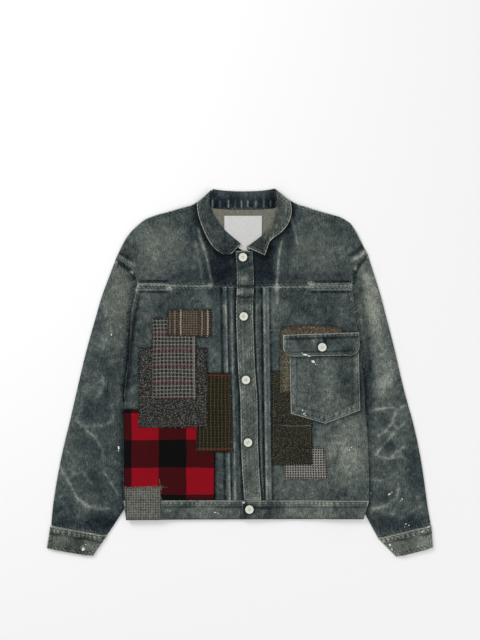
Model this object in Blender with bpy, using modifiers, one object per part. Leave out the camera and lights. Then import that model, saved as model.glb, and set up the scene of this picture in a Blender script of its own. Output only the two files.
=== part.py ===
"""Mended denim jacket, buttoned up and laid flat on its back.

All sizes are in millimetres and become metres when a mesh is made. +X points to the wearer's left,
+Y to the collar and +Z up from the surface that the jacket lies on. The origin is on that surface
under the middle of the outline. Left and right in the names are the wearer's.

From the surface up, the layers are the sleeves' inner folds, the back, the fronts, the patches, the
pocket with its flap, and the collar's leaves. Each layer's height is a function of x and y, so what
lies on a panel follows the panel.
"""
import math

import bmesh
import bpy
from mathutils import Vector

MM = 0.001

# Thickness of the cloth and the room between its layers
WALL = 1.3
BAND_WALL = 2.0
PLACKET_WALL = 2.0
PATCH_WALL = 1.2
LEAF_WALL = 1.8
LABEL_WALL = 1.0
SEAM_GAP = 0.3
LAYER_GAP = 0.4
BODY_GAP = 0.6

# Heights that the lower layers give the upper ones
SLEEVE_STACK = 2 * WALL + BODY_GAP
SIDE_LIFT = SLEEVE_STACK + 0.5
LEAF_UNDER_BACK = 1.35
NECK_LIFT = LEAF_UNDER_BACK + LAYER_GAP
LABEL_ROOM = 1.2
FOLD_HEIGHT = 3.0
PLEAT_RISE = 1.5
TUCK_RISE = 2.2

# Where the back climbs over the sleeves' inner folds and over the collar's back leaf, and where the
# fronts make room for the label: distances from the middle of the body, and heights up the body
BODY_MIDDLE = 8.0
SIDE_CLIMB_ACROSS, SIDE_CLIMB_UP = (118, 205), (95, -30)
NECK_CLIMB_ACROSS, NECK_CLIMB_UP = (160, 118), (236, 292)
LABEL_ROOM_ACROSS, LABEL_ROOM_LOW, LABEL_ROOM_HIGH = (150, 96), (158, 230), (356, 318)

# Outline of the body: armholes, side folds, shoulders and seams
ARMHOLE_TOP = {
    "right": [(-253, 236), (-238, 225), (-221, 213), (-213, 198), (-210, 181)],
    "left": [(261, 243), (247, 232), (234, 219), (230, 198), (229, 177)],
}
ARMHOLE_LOW = {
    "right": [(-210, 181), (-215, 158), (-222, 120), (-225, 70), (-229, 20), (-232, -10)],
    "left": [(229, 177), (232, 155), (235, 108), (242, 75), (247, 35), (251, -10)],
}
SIDE_FOLD = {
    "right": [(-232, -10), (-236, -60), (-239, -130), (-239, -230), (-238, -261.7)],
    "left": [(251, -10), (257, -77), (262, -150), (264.5, -230), (264, -261.7)],
}
SHOULDER = {
    "right": [(-253, 236), (-244, 255), (-230, 280), (-207, 304), (-187, 317), (-148, 329), (-88, 347),
              (-77, 358)],
    "left": [(261, 243), (254, 255), (242, 280), (228, 304), (209, 317), (168, 329), (106, 349), (94, 358)],
}
HEM = {"right": (-233, -302), "left": (253, -300)}
HEM_MIDDLE = -300
WAIST_SEAM = -261.7
YOKE_SEAM_MIDDLE = 174.5
TOP_ROWS, LOW_ROWS, SIDE_ROWS = 4, 6, 7

# Front edges: the placket's free edge, and the fronts' edges that meet under it
PLACKET_EDGE = [(-9, 250), (-6, 198), (-6, 174), (-8, 140), (-7, 87), (-3, -5), (1, -50), (2, -138),
                (4.5, -200), (9, -261.4)]
PLACKET_WIDTH = 34.5
FRONT_EDGE = {"right": 16.5, "left": 20.0}
BAND_OVERLAP_EDGE = 3.5
BAND_UNDERLAP = 22.0
LAP_CLIMB = (70, 8)
BUCKLE_PLACE, BUCKLE_WIDTH, BUCKLE_RISE = 164, 7.5, 2.6

# Pleats beside the placket: x at the yoke seam, x at the waist seam, width
PLEATS = {"right": (-25.6, -17.0, 11.5), "left": (46.0, 52.0, 12.5)}
PLEAT_LIP = 0.6

# Grid of the fronts and yokes: columns outside and inside the pleat, and rows close to the tucks
OUTER_COLUMNS, INNER_COLUMNS = 11, 2
TUCK_ROWS = (16.0, 8.0, 4.0)
YOKE_TUCK_ROWS = (8.0, 4.0)
SHOULDER_PARTS = 9

# Tucks bunched on the yoke seam: first x, last x
TUCKS = {"right": (-206, -146), "left": (147, 227)}
TUCK_HALF_WIDTH = 9.0
TUCK_SEAM = 176
TUCK_END = 8

# Collar: roll line, leaf edge and neck seam, from the side crease to the front
COLLAR_ROLL = {
    "right": [(-57, 376), (-63, 356), (-60, 337), (-53, 321), (-41, 302), (-27, 288), (-12, 275), (2, 264)],
    "left": [(72, 377), (76, 356), (75, 335), (71, 315), (63, 297), (52, 286), (39, 276), (26, 266),
             (13, 257)],
}
COLLAR_LEAF = {
    "right": [(-88, 348), (-87.5, 332), (-84, 317), (-77, 297), (-66, 273), (-55, 257), (-41, 245),
              (-28, 239.5), (-17, 243)],
    "left": [(103, 351), (106.5, 337), (105, 321), (99, 304), (89, 291), (76, 280), (63, 273), (57, 257),
             (51, 240)],
}
NECK_SEAM = {
    "right": [(-77, 358), (-73, 343), (-67.5, 327), (-60, 310), (-49, 292), (-35, 277), (-19, 264),
              (-3, 255)],
    "left": [(94, 358), (90, 343), (84.5, 326), (78, 310), (69, 294), (58, 281), (44, 270), (30, 260),
             (16, 249)],
}
COLLAR_STATIONS = 9
YOKE_UNDER_COLLAR = 6.0
ROLL_BEFORE, ROLL_DEPTH, ROLL_AFTER = 2.2, 1.5, 2.4
BACK_COLLAR = [
    ((-67, 346), (-55, 376), (-80, 346)), ((-54, 336.5), (-40, 373.5), (-64, 318)),
    ((-27, 334.3), (-22, 372), (-34, 303)), ((7, 334), (7, 371), (7, 296)),
    ((41, 334.3), (38, 372), (50, 303)), ((70, 336.5), (57, 374), (80, 320)),
    ((83, 346), (71, 377), (95, 348)),
]

# Sleeves: outer fold, hidden inner fold with a point for each ring, and cuffs
SLEEVE_OUTER = {
    "right": [(-253, 236), (-264, 206), (-279, 169), (-297, 108), (-316, 40), (-334, -36), (-348, -97),
              (-363, -159), (-375, -220), (-383, -272), (-387, -314)],
    "left": [(261, 243), (273, 206), (285, 169), (301, 108), (317, 46), (336, -36), (353, -97),
             (367, -159), (377, -220), (384, -272), (391, -313)],
}
SLEEVE_INNER = {
    "right": [(-232, -10), (-234, -17), (-235.5, -26), (-236.5, -37), (-236.5, -51), (-234.5, -68),
              (-230, -90), (-224.5, -117), (-219, -148), (-215, -181), (-214, -216), (-222, -251),
              (-246, -293), (-273, -334)],
    "left": [(251, -10), (253, -17), (254.5, -26), (255.5, -37), (255.5, -51), (253.5, -68), (249, -90),
             (243.5, -117), (238, -148), (234, -181), (233, -216), (241, -253), (260, -296), (283, -339)],
}
CUFF = {
    "right": [(-389, -315.5), (-273, -335.5), (-301.5, -376.5), (-396, -360)],
    "left": [(392.5, -314), (283, -340.5), (320, -378), (396, -359)],
}
CUFF_BULGE = 3.0

# Patches, lowest first: corners from the hem on the wearer's right, anticlockwise
PATCHES_RIGHT = [
    ("patch_red_plaid", [(-237.3, -260.9), (-51, -260.9), (-51, -75), (-238.3, -75)]),
    ("patch_brown_check", [(-89, -163), (-14.5, -162), (-19, -1), (-89, -1)]),
    ("patch_grey_tweed", [(-207, -112), (-67, -112), (-67, 51), (-207, 51)]),
    ("patch_houndstooth", [(-179.5, -54), (-90, -54), (-90, 111.5), (-179.5, 111.5)]),
    ("patch_striped_tweed", [(-149, 76), (-59, 73), (-59, 129), (-147, 128)]),
]
LINEN_PATCH = [(-232.5, -301), (-162, -301.5), (-162, -234), (-237.5, -235)]
PATCHES_LEFT = [
    ("patch_open_check", [(90, -218), (180, -218), (172, -152), (90, -157)]),
    ("patch_charcoal_tweed", [(66, -188), (148, -188), (146, 3), (65, 3)]),
    ("patch_brown_tweed", [(82, -41), (207, -41), (209, 90), (84, 90)]),
]
PATCH_TOP_ARCH = 7.0
POCKET = [(104, -84), (246, -77), (242, 67), (101, 67)]
POCKET_POINT = 24.0
POCKET_POINT_SHARE = 0.22
FLAP = [(89, 33), (245, 35), (244, 82), (88, 77)]
FLAP_CORNER = 20.0
NECK_LABEL = [(-32, 242), (45, 242), (45, 321), (-32, 321)]
RAMP_START, RAMP_END = 5.0, 16.0

# Buttons
BUTTON_RADIUS = 8.5
BUTTON_HEIGHT = 3.0
BUTTONS = {
    "button_1": (6, 236), "button_2": (7.6, 115), "button_3": (12.1, -15), "button_4": (16.4, -143),
    "button_5": (19.3, -280), "button_flap": (168, 52),
}

# Colour and roughness of each cloth
COLOURS = {
    "denim": ((0.16, 0.20, 0.22), 0.92), "denim_inside": ((0.28, 0.25, 0.20), 0.93),
    "red_plaid": ((0.30, 0.035, 0.035), 0.95),
    "brown_check": ((0.07, 0.045, 0.03), 0.95), "grey_tweed": ((0.17, 0.17, 0.16), 0.95),
    "houndstooth": ((0.42, 0.38, 0.33), 0.95), "striped_tweed": ((0.10, 0.07, 0.05), 0.95),
    "linen_check": ((0.36, 0.31, 0.25), 0.95), "open_check": ((0.33, 0.33, 0.33), 0.95),
    "charcoal_tweed": ((0.06, 0.055, 0.055), 0.95), "brown_tweed": ((0.11, 0.075, 0.05), 0.95),
    "cream_button": ((0.72, 0.66, 0.52), 0.35), "white_label": ((0.80, 0.79, 0.75), 0.80),
}


def mix(first, last, amount):
    """The value or point between two others."""
    if isinstance(first, (int, float)):
        return first + (last - first) * amount
    return tuple(a + (b - a) * amount for a, b in zip(first, last))


def step(low, high, value):
    """A smooth rise from 0 at low to 1 at high."""
    amount = min(max((value - low) / (high - low), 0.0), 1.0)
    return amount * amount * (3 - 2 * amount)


def resample(line, count):
    """The points that part a line into count equal lengths."""
    lengths = [0.0]
    for first, last in zip(line, line[1:]):
        lengths.append(lengths[-1] + math.dist(first, last))
    points = []
    for index in range(count + 1):
        wanted = lengths[-1] * index / count
        span = next(k for k in range(1, len(line)) if lengths[k] >= wanted - 1e-6)
        amount = (wanted - lengths[span - 1]) / (lengths[span] - lengths[span - 1])
        points.append(mix(line[span - 1], line[span], min(max(amount, 0.0), 1.0)))
    return points


def smooth(points, count):
    """A smooth line through the points, parted into count equal lengths."""
    dense = []
    padded = [points[0]] + list(points) + [points[-1]]
    for before, first, last, after in zip(padded, padded[1:], padded[2:], padded[3:]):
        for part in range(10):
            t = part / 10
            dense.append(tuple(
                0.5 * (2 * b + (c - a) * t + (2 * a - 5 * b + 4 * c - d) * t * t
                       + (3 * b - a - 3 * c + d) * t ** 3)
                for a, b, c, d in zip(before, first, last, after)))
    dense.append(tuple(points[-1]))
    return resample(dense, count)


def x_at(line, y):
    """Where a line that runs down the jacket has the height y."""
    for (x0, y0), (x1, y1) in zip(line, line[1:]):
        if y1 <= y <= y0:
            return mix(x0, x1, (y0 - y) / (y0 - y1))
    return line[0][0] if y > line[0][1] else line[-1][0]


def edge_distance(point, line):
    """How far a point lies from a line of several stretches."""
    best = 1e9
    spot = Vector(point)
    for first, last in zip(line, line[1:]):
        start, along = Vector(first), Vector(last) - Vector(first)
        amount = min(max((spot - start).dot(along) / along.length_squared, 0.0), 1.0)
        best = min(best, (spot - start - along * amount).length)
    return best


def side_line(side):
    """The body's edge from the shoulder tip down to the waist seam."""
    return (smooth(ARMHOLE_TOP[side], TOP_ROWS) + smooth(ARMHOLE_LOW[side], LOW_ROWS)[1:]
            + smooth(SIDE_FOLD[side], SIDE_ROWS)[1:])


SIDE_LINE = {side: side_line(side) for side in ("right", "left")}
OUTLINE = {side: SHOULDER[side][::-1] + SIDE_LINE[side][1:] for side in ("right", "left")}


def back_under(x, y):
    """Height of the back's underside: flat, but raised over the sleeves' folds and the collar."""
    across = abs(x - BODY_MIDDLE)
    side = step(*SIDE_CLIMB_ACROSS, across) * step(*SIDE_CLIMB_UP, y)
    neck = step(*NECK_CLIMB_UP, y) * step(*NECK_CLIMB_ACROSS, across)
    return SIDE_LIFT * side + NECK_LIFT * neck


def fold(x, y, line, width, height):
    """A soft ridge along a line."""
    return height * math.exp(-(edge_distance((x, y), line) / width) ** 2)


# Soft folds of the fronts: the line that each follows, its width and its height
BODY_FOLDS = [
    ([(-85, 232), (-68, 210), (-61, 184)], 15, 2.2), ([(-165, 300), (-120, 240), (-112, 190)], 24, 1.9),
    ([(80, 240), (76, 204), (74, 150)], 13, 2.4), ([(160, 300), (130, 240), (128, 190)], 24, 2.0),
    ([(-195, 170), (-150, 60), (-140, -90)], 34, 1.7), ([(-70, 150), (-62, 0), (-60, -240)], 30, 1.6),
    ([(-130, -110), (-150, -240)], 36, 1.8), ([(205, 120), (190, 0), (215, -160)], 34, 1.8),
    ([(95, 150), (104, -60), (96, -240)], 30, 1.7), ([(150, -120), (170, -240)], 34, 1.6),
]
# The folds fade out near the outline, the waist seam, the placket and the collar
FOLD_FADE_OUTLINE, FOLD_FADE_WAIST, FOLD_FADE_PLACKET = (3, 34), (2, 42), (6, 46)
FOLD_FADE_COLLAR_UP, FOLD_FADE_COLLAR_ACROSS = (215, 250), (150, 112)


def puff(x, y):
    """How far the fronts' soft folds stand off the back, nothing at the edges and seams."""
    side = "right" if x < BODY_MIDDLE else "left"
    rim = step(*FOLD_FADE_OUTLINE, edge_distance((x, y), OUTLINE[side]))
    rim *= step(*FOLD_FADE_WAIST, y - WAIST_SEAM)
    rim *= step(*FOLD_FADE_PLACKET, abs(x - x_at(PLACKET_EDGE, y) - PLACKET_WIDTH / 2))
    rim *= 1 - step(*FOLD_FADE_COLLAR_UP, y) * step(*FOLD_FADE_COLLAR_ACROSS, abs(x - BODY_MIDDLE))
    total = sum(fold(x, y, *entry) for entry in BODY_FOLDS)
    return min(total, FOLD_HEIGHT) * rim


def tuck(x, y):
    """The bunched ridges on the yoke seam."""
    total = 0.0
    for first, last in TUCKS.values():
        across = (y - TUCK_SEAM) / TUCK_HALF_WIDTH
        along = step(first - TUCK_END, first + TUCK_END, x) * step(last + TUCK_END, last - TUCK_END, x)
        total += TUCK_RISE * along * max(0.0, 1 - across * across)
    return total


def front_under(x, y):
    """Height of the fronts' and yokes' underside."""
    label = LABEL_ROOM * step(*LABEL_ROOM_LOW, y) * step(*LABEL_ROOM_HIGH, y)
    label *= step(*LABEL_ROOM_ACROSS, abs(x - BODY_MIDDLE))
    return back_under(x, y) + WALL + BODY_GAP + puff(x, y) + label + tuck(x, y)


def front_top(x, y):
    """Height of the fronts' upper face."""
    return front_under(x, y) + WALL


def cover(corners, x, y):
    """1 over a patch and just past its edge, falling to 0 a little further out."""
    xs, ys = zip(*corners)
    outside = math.hypot(max(min(xs) - x, x - max(xs), 0), max(min(ys) - y, y - max(ys), 0))
    return 1 - step(RAMP_START, RAMP_END, outside)


def pleat_box(side):
    """The pleat's outline, as a patch sees it from above."""
    top, bottom, width = PLEATS[side]
    low, high = min(top, bottom), max(top, bottom) + width
    return [(low, WAIST_SEAM), (high, WAIST_SEAM), (high, YOKE_SEAM_MIDDLE), (low, YOKE_SEAM_MIDDLE)]


def lay_on(below, side=None):
    """Height function of a piece that lies on a front and on the patches in below."""
    layer = PATCH_WALL + LAYER_GAP

    def height(x, y):
        total = front_top(x, y) + LAYER_GAP
        total += sum(layer * cover(corners, x, y) for corners in below)
        if side:
            total += PLEAT_RISE * cover(pleat_box(side), x, y)
        return total

    return height


def material(name):
    """The cloth's or button's own material."""
    colour, roughness = COLOURS[name]
    made = bpy.data.materials.new(name)
    made.use_nodes = True
    shader = made.node_tree.nodes["Principled BSDF"]
    shader.inputs["Base Color"].default_value = (*colour, 1)
    shader.inputs["Roughness"].default_value = roughness
    shader.inputs["Metallic"].default_value = 0.0
    return made


def add_object(name, mesh, look, smooth_angle=40):
    """Put a mesh in the jacket's collection, shaded smooth but for its sharp edges."""
    mesh.materials.append(material(look))
    mesh.shade_smooth()
    mesh.set_sharp_from_angle(angle=math.radians(smooth_angle))
    made = bpy.data.objects.new(name, mesh)
    bpy.data.collections["patched_jacket"].objects.link(made)
    return made


def coons(bottom, top, left, right, us, vs):
    """Points of a panel between four edge lines, as rows from the bottom up."""
    rows = []
    for i, v in enumerate(vs):
        row = []
        for j, u in enumerate(us):
            across = mix(left[i], right[i], u)
            along = mix(bottom[j], top[j], v)
            corner = mix(mix(bottom[0], bottom[-1], u), mix(top[0], top[-1], u), v)
            row.append(tuple(a + b - c for a, b, c in zip(across, along, corner)))
        rows.append(row)
    return rows


def sheet(name, rows, height, wall, look):
    """A cloth wall: a grid moved to the rows' points at their height, with Solidify above it."""
    bm = bmesh.new()
    bmesh.ops.create_grid(bm, x_segments=len(rows[0]) - 1, y_segments=len(rows) - 1, size=1)
    for vert in bm.verts:
        j = round((vert.co.x + 1) / 2 * (len(rows[0]) - 1))
        i = round((vert.co.y + 1) / 2 * (len(rows) - 1))
        x, y = rows[i][j][:2]
        z = rows[i][j][2] if len(rows[i][j]) > 2 else 0.0
        vert.co = Vector((x, y, height(x, y) + z)) * MM
    bmesh.ops.triangulate(bm, faces=bm.faces, quad_method="FIXED")
    mesh = bpy.data.meshes.new(name)
    bm.to_mesh(mesh)
    bm.free()
    made = add_object(name, mesh, look)
    thick = made.modifiers.new("Cloth", "SOLIDIFY")
    thick.thickness = wall * MM
    thick.offset = 1.0
    thick.use_even_offset = True
    return made


def lines(low, high, pitch, extra=()):
    """Grid lines from low to high: the extra ones, with the pitch between them."""
    fixed = sorted({low, high} | {value for value in extra if low + 2 < value < high - 2})
    kept = [fixed[0]]
    for value in fixed[1:]:
        if value - kept[-1] > 2 or value == high:
            kept.append(value)
    values = []
    for first, last in zip(kept, kept[1:]):
        count = max(1, math.ceil((last - first) / pitch))
        values += [mix(first, last, k / count) for k in range(count)]
    return values + [high]


def quad_rows(corners, pitch_x, pitch_y, below=(), arch=0.0, drop=0.0, corner=0.0):
    """Rows of a four-sided patch, with grid lines where it steps over the pieces below it.

    Its top may be arched, its bottom may drop to a point, and its lower corners may be rounded.
    """
    xs, ys = zip(*corners)
    extra_x, extra_y = [], []
    for outline in below:
        low_x, high_x = min(p[0] for p in outline), max(p[0] for p in outline)
        low_y, high_y = min(p[1] for p in outline), max(p[1] for p in outline)
        for reach in (RAMP_START - 1.5, RAMP_END):
            extra_x += [low_x - reach, high_x + reach]
            extra_y += [low_y - reach, high_y + reach]
    columns = lines(min(xs), max(xs), pitch_x, extra_x)
    extra_y += [min(ys) + corner * share for share in (0.12, 0.35, 0.65, 1.0) if corner]
    heights = lines(min(ys), max(ys), pitch_y, extra_y)
    rows = []
    for y in heights:
        v = (y - heights[0]) / (heights[-1] - heights[0])
        inset = corner - math.sqrt(corner ** 2 - max(0.0, corner - y + heights[0]) ** 2)
        row = []
        for x in columns:
            u = (x - columns[0]) / (columns[-1] - columns[0])
            spot = mix(mix(corners[0], corners[1], u), mix(corners[3], corners[2], u), v)
            bow = arch * max(0.0, 4 * v - 3) * 4 * u * (1 - u)
            bow -= drop * max(0.0, 1 - v / POCKET_POINT_SHARE) * (1 - abs(2 * u - 1))
            row.append((spot[0] + inset * (1 - 2 * u), spot[1] + bow))
        rows.append(row)
    return rows


def wall_loft(name, sections, closed, look):
    """A cloth wall through sections, each a list of outer and inner points in pairs."""
    bm = bmesh.new()
    skins = []
    for face in (0, 1):
        skins.append([[bm.verts.new(Vector(pair[face]) * MM) for pair in section] for section in sections])
    outer, inner = skins
    count = len(sections[0])
    spans = [(k, (k + 1) % count) for k in range(count if closed else count - 1)]
    for i in range(len(sections) - 1):
        for a, b in spans:
            bm.faces.new((outer[i][a], outer[i][b], outer[i + 1][b], outer[i + 1][a]))
            bm.faces.new((inner[i][b], inner[i][a], inner[i + 1][a], inner[i + 1][b]))
        if not closed:
            bm.faces.new((inner[i][0], outer[i][0], outer[i + 1][0], inner[i + 1][0]))
            bm.faces.new((outer[i][-1], inner[i][-1], inner[i + 1][-1], outer[i + 1][-1]))
    for a, b in spans:
        bm.faces.new((outer[0][b], outer[0][a], inner[0][a], inner[0][b]))
        bm.faces.new((outer[-1][a], outer[-1][b], inner[-1][b], inner[-1][a]))
    bmesh.ops.recalc_face_normals(bm, faces=bm.faces)
    mesh = bpy.data.meshes.new(name)
    bm.to_mesh(mesh)
    bm.free()
    return add_object(name, mesh, look)


def front_columns(side):
    """Columns across a front, from its side to the placket.

    Each has its share of the way across at the waist and at the yoke seam, and 1 where the pleat
    raises it.
    """
    outer_low, outer_high = SIDE_FOLD[side][-1][0], ARMHOLE_LOW[side][0][0]
    inner_low = x_at(PLACKET_EDGE, WAIST_SEAM) + FRONT_EDGE[side]
    inner_high = x_at(PLACKET_EDGE, YOKE_SEAM_MIDDLE) + FRONT_EDGE[side]
    high, low, width = PLEATS[side]
    first, last, lip = (width, 0.0, PLEAT_LIP) if side == "left" else (0.0, width, -PLEAT_LIP)
    pleat = []
    for offset, raised in ((first + lip, 0), (first - lip, 1), (last + lip, 1), (last - lip, 0)):
        pleat.append(((low + offset - outer_low) / (inner_low - outer_low),
                      (high + offset - outer_high) / (inner_high - outer_high), raised))
    outer_part = [mix((0.0, 0.0, 0), pleat[0], k / OUTER_COLUMNS) for k in range(OUTER_COLUMNS + 1)]
    inner_part = [mix(pleat[3], (1.0, 1.0, 0), k / INNER_COLUMNS) for k in range(INNER_COLUMNS + 1)]
    return outer_part + pleat[1:3] + inner_part


def build_front(side):
    """A front below the yoke, with its pressed pleat."""
    outer = SIDE_LINE[side][TOP_ROWS:][::-1]
    outer[-1] = (outer[-1][0], outer[-1][1] - SEAM_GAP)
    inner_x = FRONT_EDGE[side]
    inner_top = (x_at(PLACKET_EDGE, YOKE_SEAM_MIDDLE) + inner_x, YOKE_SEAM_MIDDLE - SEAM_GAP)
    inner_bottom = (x_at(PLACKET_EDGE, WAIST_SEAM) + inner_x, WAIST_SEAM)
    vs = [k / (len(outer) - 1) for k in range(len(outer))]
    for below_seam in TUCK_ROWS:
        outer.insert(-1, mix(outer[-1], outer[-2], below_seam / math.dist(outer[-1], outer[-2])))
        vs.insert(-1, 1 - below_seam / (inner_top[1] - WAIST_SEAM))
    inner = []
    for v in vs:
        y = mix(inner_bottom[1], inner_top[1], v)
        inner.append((x_at(PLACKET_EDGE, y) + inner_x, y))
    columns = front_columns(side)
    bottom = [mix(outer[0], inner_bottom, low) for low, _, _ in columns]
    top = [mix(outer[-1], inner_top, high) for _, high, _ in columns]
    us = [(low + high) / 2 for low, high, _ in columns]
    rows = coons(bottom, top, outer, inner, us, vs)
    rows = [[(*spot, PLEAT_RISE * raised) for spot, (_, _, raised) in zip(row, columns)] for row in rows]
    if side == "left":
        rows = [row[::-1] for row in rows]
    return sheet("front_" + side, rows, front_under, WALL, "denim")


def collar_lines(side):
    """Roll line, leaf edge and neck seam of a front half of the collar."""
    roll = smooth(COLLAR_ROLL[side], COLLAR_STATIONS)
    leaf = smooth(COLLAR_LEAF[side], COLLAR_STATIONS)
    return roll, leaf, smooth(NECK_SEAM[side], COLLAR_STATIONS)


def build_yoke(side):
    """A front yoke, from the shoulder and the neck seam down to the yoke seam."""
    outer = SIDE_LINE[side][:TOP_ROWS + 1][::-1]
    neck = collar_lines(side)[2]
    inner_x = FRONT_EDGE[side]
    neck_end = (x_at(PLACKET_EDGE, PLACKET_EDGE[0][1]) + inner_x, neck[-1][1] - YOKE_UNDER_COLLAR)
    seam_end = (x_at(PLACKET_EDGE, YOKE_SEAM_MIDDLE) + inner_x, YOKE_SEAM_MIDDLE)
    top = smooth(SHOULDER[side][:-1] + [neck[0]], SHOULDER_PARTS) + neck[1:] + [neck_end]
    neck_start = abs(neck[0][0] - outer[0][0]) / abs(seam_end[0] - outer[0][0])
    neck_parts = len(top) - 1 - SHOULDER_PARTS
    us = [neck_start * k / SHOULDER_PARTS for k in range(SHOULDER_PARTS)]
    us += [mix(neck_start, 1.0, k / neck_parts) for k in range(neck_parts + 1)]
    bottom = [mix(outer[0], seam_end, u) for u in us]
    vs = [k / TOP_ROWS for k in range(TOP_ROWS + 1)]
    for above_seam in YOKE_TUCK_ROWS:
        outer.insert(1, mix(outer[0], outer[1], above_seam / math.dist(outer[0], outer[1])))
        vs.insert(1, above_seam / (neck_end[1] - seam_end[1]))
    inner = [mix(seam_end, neck_end, v) for v in vs]
    rows = coons(bottom, top, outer, inner, us, vs)
    if side == "left":
        rows = [row[::-1] for row in rows]
    return sheet("yoke_" + side, rows, front_under, WALL, "denim")


def build_back():
    """The back: one plain panel between the shoulders, the neck seam and the waist seam."""
    left = SIDE_LINE["right"][::-1]
    right = SIDE_LINE["left"][::-1]
    neck = [station[0] for station in BACK_COLLAR]
    shoulder_right = smooth(SHOULDER["right"], 6)
    shoulder_left = smooth(SHOULDER["left"], 6)[::-1]
    top = shoulder_right[:-1] + [(x, y - SEAM_GAP) for x, y in neck] + shoulder_left[1:]
    us = [(spot[0] - top[0][0]) / (top[-1][0] - top[0][0]) for spot in top]
    bottom = [mix(left[0], right[0], u) for u in us]
    vs = [k / (len(left) - 1) for k in range(len(left))]
    return sheet("back_panel", coons(bottom, top, left, right, us, vs), back_under, WALL, "denim_inside")


def band_rows(start, end, low_start, low_end, pitch, rows=3):
    """Rows of a waistband from its hem up to the waist seam."""
    columns = lines(0.0, math.dist(start, end), pitch)
    length = columns[-1]
    made = []
    for k in range(rows + 1):
        made.append([mix(mix(low_start, low_end, c / length), mix(start, end, c / length), k / rows)
                     for c in columns])
    return made


def build_waistbands():
    """The back waistband, and the front ones, of which the left laps over the right."""
    seam = WAIST_SEAM - SEAM_GAP
    right_top, left_top = (SIDE_FOLD["right"][-1][0], seam), (SIDE_FOLD["left"][-1][0], seam)

    def over_back(x, y):
        return back_under(x, y) + BAND_WALL + BODY_GAP

    def over_underlap(x, y):
        lap = BAND_WALL + LAYER_GAP
        return over_back(x, y) + lap * step(*LAP_CLIMB, x - BAND_UNDERLAP)

    sheet("waistband_back", band_rows(right_top, left_top, HEM["right"], HEM["left"], 24, 1),
          back_under, BAND_WALL, "denim")
    underlap = [(BAND_UNDERLAP, seam), (BAND_UNDERLAP, HEM_MIDDLE)]
    sheet("waistband_right", band_rows(right_top, underlap[0], HEM["right"], underlap[1], 16, 2),
          over_back, BAND_WALL, "denim")
    overlap = [(BAND_OVERLAP_EDGE, seam), (BAND_OVERLAP_EDGE, HEM_MIDDLE)]
    sheet("waistband_left", band_rows(overlap[0], left_top, overlap[1], HEM["left"], 16, 2),
          over_underlap, BAND_WALL, "denim")


def placket_height(x, y):
    """The placket lies on both fronts, with a buckle where it crosses the yoke seam."""
    buckle = BUCKLE_RISE * math.exp(-((y - BUCKLE_PLACE) / BUCKLE_WIDTH) ** 2)
    return front_top(x, y) + LAYER_GAP + buckle


def build_placket():
    """The button placket, from the neck to the waist seam."""
    top = PLACKET_EDGE[0][1] - 1
    close = [BUCKLE_PLACE + offset for offset in (-18, -12, -6, 0, 6, 12, 20)]
    heights = lines(WAIST_SEAM + 0.4, top, 24, close)
    rows = []
    for y in heights:
        edge = x_at(PLACKET_EDGE, y)
        rows.append([(edge + PLACKET_WIDTH * u, y) for u in (0.0, 0.33, 0.67, 1.0)])
    return sheet("placket", rows, placket_height, PLACKET_WALL, "denim")


def hairpin(start, roll, end, start_faces, end_faces):
    """One section of a collar that folds over at its roll line, as outer and inner pairs."""
    pairs = []
    first, last = math.dist(start, roll), math.dist(roll, end)
    for amount in (0.0, 0.5, 1 - ROLL_BEFORE / first):
        x, y = mix(start, roll, amount)
        outer, inner = start_faces(x, y)
        pairs.append(((x, y, outer), (x, y, inner)))
    inset = mix(roll, end, ROLL_DEPTH / last)
    faces = start_faces(*roll) + end_faces(*roll)
    middle = sum(faces) / 4
    pairs.append(((*roll, middle), (*inset, middle)))
    for amount in (ROLL_AFTER / last, 0.35, 0.68, 1.0):
        x, y = mix(roll, end, amount)
        outer, inner = end_faces(x, y)
        pairs.append(((x, y, outer), (x, y, inner)))
    return pairs


def build_collar():
    """The collar in three stretches: the back, whose leaf lies underneath, and the two fronts."""
    def back_stand(x, y):
        return NECK_LIFT + WALL, NECK_LIFT

    def back_leaf(x, y):
        return 0.0, LEAF_UNDER_BACK

    sections = [hairpin(near, roll, far, back_stand, back_leaf) for near, roll, far in BACK_COLLAR]
    wall_loft("collar_back", sections, False, "denim")
    for side in ("right", "left"):
        roll, leaf, neck = collar_lines(side)

        def stand(x, y):
            low = front_under(x, y)
            return low, low + WALL

        def leaf_faces(x, y):
            low = front_top(x, y) + LAYER_GAP
            return low + LEAF_WALL, low

        sections = []
        for near, fold_spot, far in zip(neck, roll, leaf):
            start = mix(near, fold_spot, SEAM_GAP * 1.3 / math.dist(near, fold_spot))
            sections.append(hairpin(start, fold_spot, far, stand, leaf_faces))
        wall_loft("collar_" + side, sections, False, "denim")


# Cross folds of a sleeve: share of the way down, share of the way across, length, width and height
SLEEVE_FOLDS = [(0.20, 0.45, 0.10, 0.30, 2.4), (0.38, 0.30, 0.07, 0.30, 2.2), (0.52, 0.55, 0.06, 0.32, 2.4),
                (0.66, 0.35, 0.05, 0.34, 2.6), (0.80, 0.50, 0.05, 0.34, 2.6), (0.91, 0.45, 0.035, 0.4, 2.0)]
SLEEVE_PUFF = 0.9
FOLD_ROUND, FOLD_INSIDE = 0.9, 0.2

# Shares of the sleeve's length over which it straightens and comes down from the body's level, the
# share of its width where it dips under the body, and how far from the body its folds rise
SLEEVE_STRAIGHT, SLEEVE_DESCENT, SLEEVE_DIP = 0.30, 0.22, (0.97, 0.80)
SLEEVE_FOLD_CLEAR = (6, 44)
CUFF_ROWS, CUFF_PARTS = 3, 6
CUFF_PUFF, CUFF_ROOM = 0.7, 0.5
SLEEVE_FOLD_SLANT = 0.06


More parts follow.
